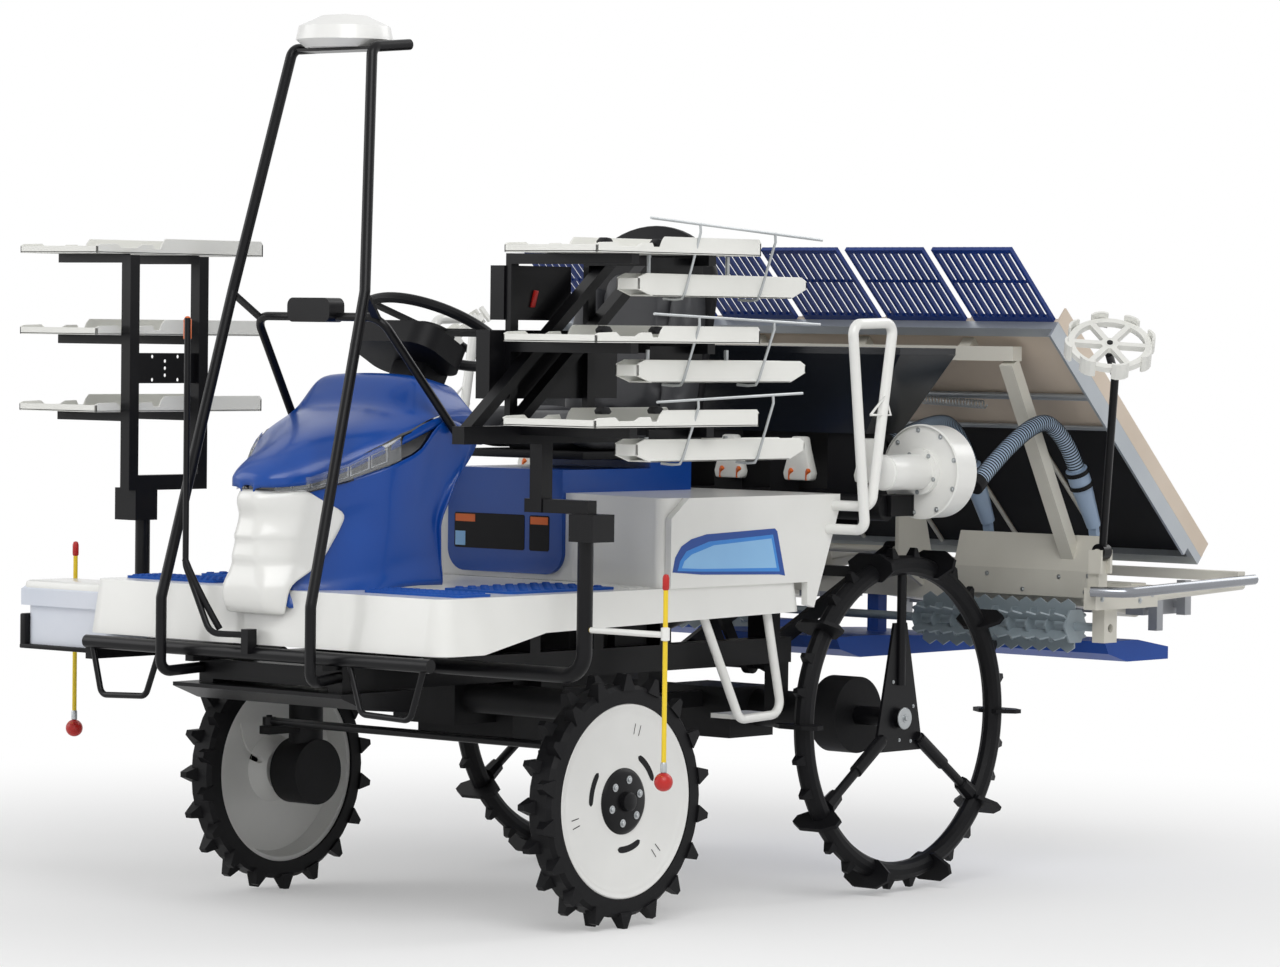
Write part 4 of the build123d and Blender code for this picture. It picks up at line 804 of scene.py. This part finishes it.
# seat: pads pressed out by a cloth run, on a moulded shell and base
seat = {
    "pads": [  # name, replaced node, centre x, back, z, size x, y, z, lean, how far the cloth may travel
        ("seatPan", "seat_cushion", 0.0, 0.515, 1.245, 0.30, 0.40, 0.085, 0.0, 0.016),
        ("seatPanLeft", None, 0.178, 0.515, 1.258, 0.085, 0.40, 0.105, 0.0, 0.014),
        ("seatPanRight", None, -0.178, 0.515, 1.258, 0.085, 0.40, 0.105, 0.0, 0.014),
        ("seatBackPad", "seat_back", 0.0, 0.775, 1.47, 0.28, 0.085, 0.44, -0.14, 0.016),
        ("seatBackLeft", None, 0.172, 0.765, 1.45, 0.085, 0.105, 0.38, -0.14, 0.014),
        ("seatBackRight", None, -0.172, 0.765, 1.45, 0.085, 0.105, 0.38, -0.14, 0.014),
    ],
    "corner": 5.0,  # the power that rounds the pads' corners
    "voxel": 0.008,
    "pressure": 4.0,
    "frames": 16,
    "fill": 0.8,
    "shell": {"place": (0, 0.812, 1.47), "plane": ((1, 0, 0), (0, 0.14, 0.99)), "wide": 0.235, "high": 0.17,
              "lower": (0.22, -0.22), "steps": 24, "thick": 0.026, "edge": 0.008},
    "base": {"outline": [(-0.21, 0.31), (0.21, 0.31), (0.22, 0.74), (-0.22, 0.74)], "z": 1.178, "thick": 0.022,
             "edge": 0.006},
}


def roundedBlock(name, size):
    # a block with round corners, divided fine enough to swell
    work = bmesh.new()
    bmesh.ops.create_cube(work, size=1.0)
    bmesh.ops.subdivide_edges(work, edges=work.edges, cuts=7, use_grid_fill=True)
    power = seat["corner"]
    for v in work.verts:
        p = v.co * 2
        length = (abs(p.x) ** power + abs(p.y) ** power + abs(p.z) ** power) ** (1 / power)
        v.co = Vector([share / length * full / 2 for share, full in zip(p, size)])
    mesh = bpy.data.meshes.new(name)
    work.to_mesh(mesh)
    work.free()
    return carry(shown(name, mesh), "seatVinyl")


def swell(obj, cap):
    # short cloth run under pressure, each point held to a small travel
    remesh = obj.modifiers.new("remesh", "REMESH")
    remesh.mode = "VOXEL"
    remesh.voxel_size = seat["voxel"]
    applied(obj)
    before = [v.co.copy() for v in obj.data.vertices]
    cloth = obj.modifiers.new("cloth", "CLOTH")
    cloth.settings.use_pressure = True
    cloth.settings.uniform_pressure_force = seat["pressure"]
    cloth.settings.effector_weights.gravity = 0
    cloth.settings.quality = 4
    cloth.point_cache.frame_start = 1
    cloth.point_cache.frame_end = seat["frames"]
    for step in range(1, seat["frames"] + 1):
        bpy.context.scene.frame_set(step)
    applied(obj)
    bpy.context.scene.frame_set(1)
    for v, start in zip(obj.data.vertices, before):
        move = v.co - start
        if move.length > cap:
            v.co = start + move.normalized() * cap
    smooth = obj.modifiers.new("smooth", "SMOOTH")
    smooth.factor = 0.5
    smooth.iterations = 4
    finer = obj.modifiers.new("finer", "SUBSURF")
    finer.levels = 1
    applied(obj)
    for face in obj.data.polygons:
        face.use_smooth = True


def makeSeat():
    for name, node, x, back, z, sx, sy, sz, lean, cap in seat["pads"]:
        pad = roundedBlock(name, (sx, sy, sz))
        swell(pad, cap)
        pad.data.transform(Matrix.Translation(at(x, back, z)) @ Matrix.Rotation(lean, 4, "X"))
        if node:
            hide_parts(node)
    shell, base = seat["shell"], seat["base"]
    turns = [math.pi * i / shell["steps"] for i in range(shell["steps"] + 1)]
    outline = [(shell["wide"] * math.cos(a), shell["high"] * math.sin(a) + shell["high"]) for a in turns]
    x, z = shell["lower"]
    plateMesh("seatShell", outline + [(-x, z), (x, z)], shell["thick"], at(*shell["place"]), shell["plane"],
              "trimBlack", shell["edge"])
    plateMesh("seatBase", base["outline"], base["thick"], at(0, 0, base["z"]), lying, "trimBlack", base["edge"])


makeSeat()
print("seat upholstered")


# feed hoses on the planting unit: a pale wall that bulges between dark ribs, a cuff at the front, clips on the funnels
hose = {
    "routes": {
        "hoseInner": [(0.45, 1.290, 1.208), (0.45, 1.530, 1.290), (0.416, 1.6843, 1.2424), (0.416, 1.7349, 1.1503)],
        "hoseOuter": [(0.780, 1.268, 1.108), (0.780, 1.530, 1.306), (0.784, 1.6843, 1.2424), (0.784, 1.7349, 1.1503)],
    },
    "pitch": 0.0092,
    "wall": (0.0222, 0.0233),
    "rib": [(-0.0019, 0.0220), (-0.0015, 0.0238), (0.0015, 0.0238), (0.0019, 0.0220)],  # shift, radius
    "around": 20,
    "cuff": [(0, 0), (0.0252, 0), (0.0258, 0.001), (0.0258, 0.030), (0.0236, 0.032)],
    "funnelTop": (1.735, 1.150), "funnelFoot": (1.823, 0.990),
    "clips": (0.008, 0.05), "clip": (0.0312, 0.034, 0.006),
}


def smoothLine(name, route):
    # the points of a smooth curve along a route
    guide = bpy.data.curves.new(name, "CURVE")
    guide.dimensions = "3D"
    spline = guide.splines.new("NURBS")
    spline.points.add(len(route) - 1)
    for place, point in zip(spline.points, route):
        place.co = (*at(*point), 1)
    spline.order_u = 3
    spline.use_endpoint_u = True
    spline.resolution_u = 24
    holder = shown(name, guide)
    bpy.context.view_layer.update()
    line = bpy.data.meshes.new_from_object(holder)
    spots = [v.co.copy() for v in line.vertices]
    bpy.data.objects.remove(holder)
    bpy.data.curves.remove(guide)
    bpy.data.meshes.remove(line)
    return spots


def ringAlong(spots, want, radius):
    # a ring of points round a line, at a distance from its start
    travelled, index = 0.0, 0
    while index < len(spots) - 2 and travelled + (spots[index + 1] - spots[index]).length < want:
        travelled += (spots[index + 1] - spots[index]).length
        index += 1
    piece = spots[index + 1] - spots[index]
    place = spots[index] + piece * ((want - travelled) / piece.length)
    heading = piece.normalized()
    side = heading.cross(Vector((1, 0, 0))).normalized()
    other = heading.cross(side)
    turns = [2 * math.pi * i / hose["around"] for i in range(hose["around"] + 1)]
    return [place + (side * math.cos(a) + other * math.sin(a)) * radius for a in turns]


def makeHoses():
    for name, route in hose["routes"].items():
        spots = smoothLine(name + "Guide", route)
        total = sum((b - a).length for a, b in zip(spots, spots[1:]))
        count = int(total / hose["pitch"])
        pitch = total / count
        walls = [ringAlong(spots, pitch * (k / 2), hose["wall"][k % 2]) for k in range(2 * count + 1)]
        gridMesh(name, walls, "hoseGrey", "planting_unit")
        verts, faces = [], []
        for k in range(1, count):
            faces += gridFaces(len(hose["rib"]), hose["around"] + 1, start=len(verts))
            for shift, radius in hose["rib"]:
                verts += ringAlong(spots, pitch * k + shift, radius)
        addMesh(name + "Ribs", verts, faces, "trimBlack", "planting_unit", smooth=True)
        lathe(name + "Cuff", hose["cuff"], spots[0], spots[1] - spots[0], "trimBlack", "planting_unit", steps=32)
    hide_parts("feed_hoses")
    inner, outer, half = hose["clip"]
    for i, route in enumerate(hose["routes"].values()):
        x = route[-1][0]
        top = at(x, *hose["funnelTop"])
        line = at(x, *hose["funnelFoot"]) - top
        for k, h in enumerate(hose["clips"]):
            lathe(f"funnelClip{i}{k}", [(inner, h - half), (outer, h - half), (outer, h + half), (inner, h + half)],
                  top, line, "trimBlack", "planting_unit", steps=32)


makeHoses()
print("hoses laid")


# wire guards, hangers and latches of the left trays
guard = {
    "tiers": [  # name, upper wire's ends (back, z), foot of the two hoops
        ("Top", (-0.401, 1.796), (0.262, 1.755), 1.606),
        ("Mid", (-0.384, 1.564), (0.258, 1.543), 1.394),
        ("Low", (-0.369, 1.350), (0.191, 1.370), 1.200),
    ],
    "x": 1.046,
    "wire": 0.0035,
    "hoops": (-0.215, 0.075),
    "hoopTop": [(0, 0, 0.003), (-0.002, 0.004, -0.02)],
    "hoopFoot": [(0.998, 0.002, 0.012), (0.99, 0, -0.004), (0.965, 0, -0.006), (0.93, 0, -0.004)],
    "hangers": (-0.30, 0.0), "hangerX": 0.955, "hangerEnds": (-0.088, 0.048), "hangerWire": 0.0055,
    "latches": (-0.555, -0.36), "latchX": 1.008, "latchRise": 0.121, "latchWide": 0.024, "latchEdge": 0.002,
    "hook": [(0, 0), (0.028, 0.0), (0.036, 0.006), (0.026, 0.017), (0.008, 0.019), (-0.004, 0.009)],
}


def makeGuards():
    x = guard["x"]
    for tier, (b0, z0), (b1, z1), foot in guard["tiers"]:
        wire("guardRail" + tier, [at(x, b0, z0), at(x, b1, z1)], guard["wire"], "zinc")
        for i, back in enumerate(guard["hoops"]):
            z = z0 + (z1 - z0) * (back - b0) / (b1 - b0)
            line = [at(x + side, back + shift, z + rise) for side, shift, rise in guard["hoopTop"]]
            line += [at(side, back + shift, foot + rise) for side, shift, rise in guard["hoopFoot"]]
            wire(f"guardHoop{tier}{i}", line, guard["wire"], "zinc")
        for i, back in enumerate(guard["hangers"]):
            ends = zip((z0, foot), guard["hangerEnds"])
            wire(f"hanger{tier}{i}", [at(guard["hangerX"], back, z + rise) for z, rise in ends],
                 guard["hangerWire"], "zinc")
        for i, back in enumerate(guard["latches"]):
            plateMesh(f"trayLatch{tier}{i}", guard["hook"], guard["latchWide"],
                      at(guard["latchX"], back, foot + guard["latchRise"]), sideOn, "trimBlack", guard["latchEdge"])


makeGuards()
print("guards bent")


def arc(radius, middle, steps):
    # the profile of a ball, without its ends
    turns = [math.pi * i / steps for i in range(1, steps)]
    return [(radius * math.sin(a), middle - radius * math.cos(a)) for a in turns]


# guide poles: red tip and ball, socket, collar and arm
pole = {
    "x": 1.052, "back": -0.335,
    "parts": [  # name, (radius, height) pairs, finish, steps around
        ("poleTip", [(0, 0.932), (0.006, 0.930), (0.0085, 0.922), (0.0085, 0.896), (0.0061, 0.892)], "redTip", 24),
        ("poleBall", [(0.0001, 0.4008), *arc(0.0232, 0.424, 12), (0.006, 0.4475), (0.0062, 0.45)], "redTip", 32),
        ("poleSocket", [(0.0062, 0.446), (0.008, 0.448), (0.008, 0.468), (0.0066, 0.472)], "zinc", 16),
        ("poleCollar", [(0.0062, 0.768), (0.011, 0.770), (0.011, 0.800), (0.0062, 0.802)], "bodyWhite", 24),
    ],
    "arm": {"inner": 0.812, "outer": 1.046, "z": 0.783, "radius": 0.0078},
}


def makePoles():
    arm = pole["arm"]
    for s, hand in hands:
        for name, profile, mat, steps in pole["parts"]:
            lathe(name + hand, profile, at(s * pole["x"], pole["back"], 0), upward, mat, steps=steps)
        wire("poleArm" + hand, [at(s * x, pole["back"], arm["z"]) for x in (arm["inner"], arm["outer"])],
             arm["radius"], "bodyWhite")


# body and two levers on each of the six metering units
meter = {
    "count": 6, "pitch": 0.245, "edge": 0.006, "back": 1.044, "z": 1.118, "depth": 0.03,
    "body": [(-0.045, 0), (0.045, 0), (0.05, 0.02), (0.03, 0.085), (0.022, 0.12), (-0.022, 0.12), (-0.03, 0.085),
             (-0.05, 0.02)],
    "lever": [(0.004, 0), (0.018, -0.006), (0.020, 0.010), (0.034, 0.020), (0.024, 0.028), (0.016, 0.022),
              (0.012, 0.044), (0.002, 0.042), (0.002, 0.020), (-0.012, 0.018), (-0.010, 0.006)],
    "leverShifts": (-0.038, 0.022), "leverBack": 1.030, "leverZ": 1.124, "leverDepth": 0.010, "leverEdge": 0.002,
    "leverPlane": ((0.85, -0.5, 0), (0, 0, 1)),
}


def makeMeters():
    for i in range(meter["count"]):
        x = (i - (meter["count"] - 1) / 2) * meter["pitch"]
        for k, shift in enumerate(meter["leverShifts"]):
            plateMesh(f"meterLever{i}{k}", meter["lever"], meter["leverDepth"],
                      at(x + shift, meter["leverBack"], meter["leverZ"]), meter["leverPlane"], "orangeTip",
                      meter["leverEdge"])
        plateMesh(f"meterBody{i}", meter["body"], meter["depth"], at(x, meter["back"], meter["z"]), facing,
                  "trayWhite", meter["edge"])


# small fittings: reflector, rubber on the foot loop, orange tip on the aiming rod
fitting = {
    "reflector": [(-0.345, 1.577), (-0.330, 1.577), (-0.316, 1.618), (-0.331, 1.620)],
    "reflectorX": 0.6038, "reflectorThick": 0.006, "reflectorEdge": 0.002,
    "loop": [(-0.10, -0.72, 0.755), (-0.15, -0.757, 0.86), (-0.185, -0.762, 0.93)], "loopRadius": 0.0085,
    "tip": [(0.0082, 0.0), (0.0105, 0.002), (0.0105, 0.05), (0.006, 0.058), (0, 0.06)],
    "tipPlace": (-0.235, -0.712, 1.486), "tipLean": (-0.08, 0.075, 1),
}


def makeFittings():
    plateMesh("reflector", fitting["reflector"], fitting["reflectorThick"], at(fitting["reflectorX"], 0, 0), sideOn,
              "redTip", fitting["reflectorEdge"])
    makePoles()
    wire("footLoopRubber", [at(*point) for point in fitting["loop"]], fitting["loopRadius"], "trimBlack", curved=True)
    lathe("aimingTip", fitting["tip"], at(*fitting["tipPlace"]), fitting["tipLean"], "orangeTip",
          steps=20)
    makeMeters()


makeFittings()
print("fittings added")


# raised patterns on the step mats and on the floor beside them
ribField = {
    "inset": 0.002,
    "front": {"x": 0.278, "back": -0.574, "pitch": (0.022, 0.023), "size": (0.014, 0.016), "count": (14, 5)},
    "middle": {"x": 0.330, "back": -0.336, "pitch": (0.0222, 0.0235), "size": (0.016, 0.018), "count": (10, 16)},
    "rear": {"x": 0.36, "back": 0.085, "pitch": (0.036, 0.03), "size": (0.032, 0.026), "count": (6, 9)},
    "matZ": (0.8658, 0.870),
    "floorZ": (0.8598, 0.8625),
}


def addBumps(verts, faces, s, field, heights, chequered=False):
    for i in range(field["count"][0]):
        for j in range(field["count"][1]):
            if chequered and (i + j) % 2 == 0:
                continue
            x, b = field["x"] + i * field["pitch"][0], field["back"] + j * field["pitch"][1]
            wide, long = field["size"]
            addRings(verts, faces, [
                [at(s * (x + k), b + k, z), at(s * (x + wide - k), b + k, z),
                 at(s * (x + wide - k), b + long - k, z), at(s * (x + k), b + long - k, z)]
                for z, k in zip(heights, (0, ribField["inset"]))], capStart=False)


def makeMats():
    for s, hand in hands:
        verts, faces = [], []
        addBumps(verts, faces, s, ribField["front"], ribField["matZ"])
        addBumps(verts, faces, s, ribField["middle"], ribField["matZ"], True)
        addMesh("matRibs" + hand, verts, faces, "matBlue")
        verts, faces = [], []
        addBumps(verts, faces, s, ribField["rear"], ribField["floorZ"])
        addMesh("floorGrid" + hand, verts, faces, "bodyWhite")


makeMats()


# plain sweep of colour on the side panels, without any sign
sweep = {
    "face": 0.6302,
    "layers": [  # name, finish, thickness, outline
        ("sweepDeep", "bodyBlue", 0.0006, [
            (0.186, 0.902), (0.196, 0.94), (0.22, 0.968), (0.26, 0.986), (0.32, 0.997), (0.60, 1.006), (0.61, 0.998),
            (0.645, 0.880), (0.62, 0.884), (0.3, 0.893)]),
        ("sweepSky", "skyBlue", 0.0010, [
            (0.205, 0.905), (0.215, 0.93), (0.24, 0.955), (0.33, 0.978), (0.592, 0.990), (0.622, 0.892), (0.3, 0.901)]),
        ("sweepPale", "paleBlue", 0.0014, [
            (0.222, 0.912), (0.232, 0.93), (0.26, 0.946), (0.35, 0.968), (0.585, 0.980), (0.608, 0.902), (0.3, 0.908)]),
    ],
}


def makeSweeps():
    for s, hand in hands:
        for name, mat, thick, outline in sweep["layers"]:
            plateMesh(name + hand, outline[::s], thick * s, at(s * sweep["face"], 0, 0), sideOn, mat)


makeSweeps()
print("mats and sweeps laid")


# blower: bolts on both flanges, a rim and the motor's cap
blower = {
    "x": 0.715, "z": 1.15,
    "rings": [  # count, turn, radius, back, size
        (9, 0.3, 0.113, 1.1198, 0.0085),
        (5, 0.9, 0.055, 1.1038, 0.0075),
    ],
    "rim": [(0.1245, -0.004), (0.1285, -0.002), (0.1285, 0.006), (0.1245, 0.008)], "rimBack": 1.1205,
    "cap": [(0, 0.012), (0.032, 0.012), (0.044, 0.006), (0.0482, -0.004)], "capBack": 0.9505,
}


def makeBlower():
    x, z = blower["x"], blower["z"]
    spots = []
    for count, turn, radius, back, size in blower["rings"]:
        for i in range(count):
            angle = 2 * math.pi * i / count + turn
            spots.append((at(x + radius * math.cos(angle), back, z + radius * math.sin(angle)), forward, size))
    bolts("blowerBolts", spots)
    lathe("blowerRim", blower["rim"], at(x, blower["rimBack"], z), forward, "bodyWhite", steps=64)
    lathe("motorCap", blower["cap"], at(x, blower["capBack"], z), forward, "bodyWhite")


# bolts of the planting unit, on the guard plates and on the marker feet
unitBolts = {
    "plate": [(0.36, 0.806), (0.45, 0.846), (0.575, 0.806), (0.70, 0.846), (0.79, 0.806), (0.80, 0.852)],
    "plateBack": 1.7759, "plateSize": 0.008,
    "foot": [(1.62, 0.80), (1.70, 0.812), (1.80, 0.79), (1.86, 0.806)],
    "footX": 0.9601, "footSize": 0.010,
}


def makeUnitBolts():
    spots = []
    for s in (1, -1):
        spots += [(at(s * x, unitBolts["plateBack"], z), forward, unitBolts["plateSize"])
                  for x, z in unitBolts["plate"]]
        spots += [(at(s * unitBolts["footX"], back, z), (s, 0, 0), unitBolts["footSize"])
                  for back, z in unitBolts["foot"]]
    bolts("unitBolts", spots, "planting_unit")


makeBlower()
makeUnitBolts()
print("bolts set")


# nursery trays with low front walls, ribs and feet, in place of the plain ones
tray = {
    "main": {
        "long": 0.62, "wide": 0.30,
        "side": [(0.0, 0.0), (0.0, 0.020), (0.012, 0.024), (0.075, 0.026), (0.09, 0.016), (0.145, 0.016),
                 (0.165, 0.025), (0.205, 0.026), (0.212, 0.014), (0.232, 0.014), (0.24, 0.030), (0.252, 0.042),
                 (0.612, 0.042), (0.62, 0.034), (0.62, 0.0)],
        "slabs": [  # front, back, lower and upper face within the tray
            (0, 0.006, 0, 0.019), (0.614, 0.62, 0, 0.033), (0, 0.62, 0.001, 0.005)],
    },
    "hung": {
        "long": 0.65, "wide": 0.072,
        "side": [(0.05, 0.0), (0.0, 0.016), (0.0, 0.046), (0.03, 0.056), (0.63, 0.054), (0.65, 0.044), (0.65, 0.024),
                 (0.59, 0.0)],
        "slabs": [(0, 0.005, 0.016, 0.044), (0.645, 0.65, 0.024, 0.043), (0.05, 0.59, 0, 0.004)],
    },
    "columns": [  # form, centre x, front, foot of each tray
        ("main", 0.885, -0.585, (1.710, 1.493, 1.288)),
        ("main", -0.94, -0.51, (1.710, 1.493, 1.288)),
        ("hung", 0.956, -0.38, (1.607, 1.396, 1.202)),
    ],
    "wall": 0.005, "edge": 0.0012,
    "ribs": {"count": 9, "start": 0.02, "pitch": 0.029, "wide": 0.010, "margin": 0.02, "z": (0.005, 0.009)},
    "feet": {"backs": (0.16, 0.30, 0.46), "x": (0.002, 0.022), "long": 0.016, "high": 0.002},
}


def makeTray(name, form, x, front, foot):
    half = form["wide"] / 2
    verts, faces = [], []

    def slab(x0, x1, b0, b1, z0, z1):
        addRings(verts, faces, [
            [at(x0, front + b0, foot + z), at(x1, front + b0, foot + z),
             at(x1, front + b1, foot + z), at(x0, front + b1, foot + z)] for z in (z0, z1)])

    for x0, x1 in ((x - half, x - half + tray["wall"]), (x + half - tray["wall"], x + half)):
        addRings(verts, faces, [[at(side, front + b, foot + h) for b, h in form["side"]] for side in (x0, x1)])
    for b0, b1, z0, z1 in form["slabs"]:
        slab(x - half, x + half, b0, b1, z0, z1)
    if form is tray["main"]:
        ribs, feet = tray["ribs"], tray["feet"]
        for i in range(ribs["count"]):
            edge = x - half + ribs["start"] + i * ribs["pitch"]
            slab(edge, edge + ribs["wide"], ribs["margin"], form["long"] - ribs["margin"], *ribs["z"])
        for b in feet["backs"]:
            slab(x - half + feet["x"][0], x - half + feet["x"][1], b, b + feet["long"], 0, feet["high"])
    soften(addMesh(name, verts, faces, "trayWhite"), tray["edge"], 1)


def makeTrays():
    count = 0
    for kind, x, front, feet in tray["columns"]:
        for foot in feet:
            makeTray(f"tray{count}", tray[kind], x, front, foot)
            count += 1
    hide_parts("seedling_trays")


makeTrays()
print("trays made")


# underside of the stage: black belt panels, cream ribs, silver cross rails; mid bars in the racks
underside = {
    "top": (0, 1.480, 1.558), "slope": 43.2, "span": 0.967,  # the plane under the stage, from its top edge down
    "boards": 6,
    "panel": (0.44, 0.985), "panelWide": 0.278, "panelX": -0.87, "pitch": 0.2925,
    "rib": (0.42, 0.985), "ribX": -0.877, "ribRadius": 0.006,
    "rails": [(0.30, 0.010), (0.43, 0.007)], "railX": 0.885,
    "proud": {"panel": 0.004, "rib": 0.008, "rail": 0.012},
    "rack": ((0, 1.276, 1.759), (0, 1.488, 1.558)), "rackShare": 0.46, "rackX": -0.884, "rackPitch": 0.3,
    "rackBar": (0.005, 0.263), "rackRadius": 0.0045,
}


def makeStageUnderside():
    slope = math.radians(underside["slope"])
    line = Vector((0, math.cos(slope), -math.sin(slope))) * underside["span"]
    out = Vector((0, -math.sin(slope), -math.cos(slope)))

    def under(x, share, kind):
        return at(*underside["top"]) + line * share + Vector((x, 0, 0)) + out * underside["proud"][kind]

    for i in range(underside["boards"]):
        x = underside["panelX"] + i * underside["pitch"]
        verts = [under(x + wide, share, "panel") for share in underside["panel"]
                 for wide in (0, underside["panelWide"])]
        addMesh(f"beltPanel{i}", verts, [(0, 1, 3, 2)], "seatBlack", "stage")
    for i in range(underside["boards"] + 1):
        x = underside["ribX"] + i * underside["pitch"]
        wire(f"stageRib{i}", [under(x, share, "rib") for share in underside["rib"]], underside["ribRadius"],
             "frameCream", "stage")
    for share, radius in underside["rails"]:
        wire(f"stageRail{int(share * 100)}", [under(s * underside["railX"], share, "rail") for s in (-1, 1)], radius,
             "stageSilver", "stage")
    a, b = (at(*end) for end in underside["rack"])
    spot = a.lerp(b, underside["rackShare"])
    for i in range(underside["boards"]):
        x = underside["rackX"] + i * underside["rackPitch"]
        wire(f"rackMidBar{i}", [spot + Vector((x + end, 0, 0)) for end in underside["rackBar"]],
             underside["rackRadius"], "rackBlue", "stage")


makeStageUnderside()
print("stage lined")


# chrome bars, hand rings, tank fittings and the return spring
trim = {
    "bar": [(0.958, 1.57, 0.822), (1.04, 1.60, 0.822), (1.060, 1.63, 0.823), (1.060, 2.215, 0.840)],
    "barRadius": 0.0145,
    "ring": [(0.762, 0.833, 1.306), (0.762, 0.896, 1.358), (0.762, 0.919, 1.305), (0.762, 0.833, 1.306)],
    "ringRadius": 0.0035,
    "tank": [  # name, outline's corners (x, back), thickness, foot, finish, edge
        ("tankLid", (-1.004, -0.566), (-0.666, -0.404), 0.05, 0.787, "bodyWhite", 0.012),
        ("tankBracket", (-1.012, -0.573), (-0.99, -0.41), 0.09, 0.657, "trimBlack", 0.004),
        ("tankTray", (-1.012, -0.574), (-0.72, -0.41), 0.012, 0.654, "trimBlack", 0.003),
    ],
    "spring": {"start": (0.30, 1.66, 1.335), "run": (0.22, 0, -0.01), "coils": 20, "perCoil": 9, "radius": 0.011,
               "wire": 0.0022},
}


def makeTrim():
    for s, hand in hands:
        wire("chromeBar" + hand, [at(s * x, back, z) for x, back, z in trim["bar"]], trim["barRadius"], "darkChrome",
             "planting_unit")
        wire("handRing" + hand, [at(s * x, back, z) for x, back, z in trim["ring"]], trim["ringRadius"], "bodyWhite")
    for name, (x0, b0), (x1, b1), thick, foot, mat, edge in trim["tank"]:
        plateMesh(name, [(x0, b0), (x1, b0), (x1, b1), (x0, b1)], thick, at(0, 0, foot), lying, mat, edge)
    spring = trim["spring"]
    steps = spring["coils"] * spring["perCoil"]
    coil = [at(*spring["start"]) + Vector(spring["run"]) * (i / steps)
            + radial(2 * math.pi * i / spring["perCoil"]) * spring["radius"] for i in range(steps + 1)]
    wire("returnSpring", coil, spring["wire"], "zinc", "planting_unit")


# blank plates on the front of the engine cover
plates = {
    "back": 0.236,
    "places": [  # name, finish, x and z spans, height, corner
        ("plateWide", "trimBlack", (-0.180, 0.072), (0.936, 1.030), 0.0012, 0.004),
        ("plateBand", "orangeTip", (-0.176, -0.105), (1.006, 1.026), 0.0018, 0.001),
        ("platePale", "paleBlue", (-0.176, -0.140), (0.942, 0.980), 0.0018, 0.001),
        ("plateSmall", "trimBlack", (0.090, 0.160), (0.936, 1.030), 0.0012, 0.004),
        ("plateSmallBand", "orangeTip", (0.094, 0.156), (1.006, 1.026), 0.0018, 0.001),
    ],
}


def makePlates():
    for name, mat, (x0, x1), (z0, z1), height, r in plates["places"]:
        outline = [(x0 + r, z0), (x1 - r, z0), (x1, z0 + r), (x1, z1 - r), (x1 - r, z1), (x0 + r, z1), (x0, z1 - r),
                   (x0, z0 + r)]
        plateMesh(name, outline, height, at(0, plates["back"], 0), facing, mat)


makeTrim()
makePlates()
print("trim added")
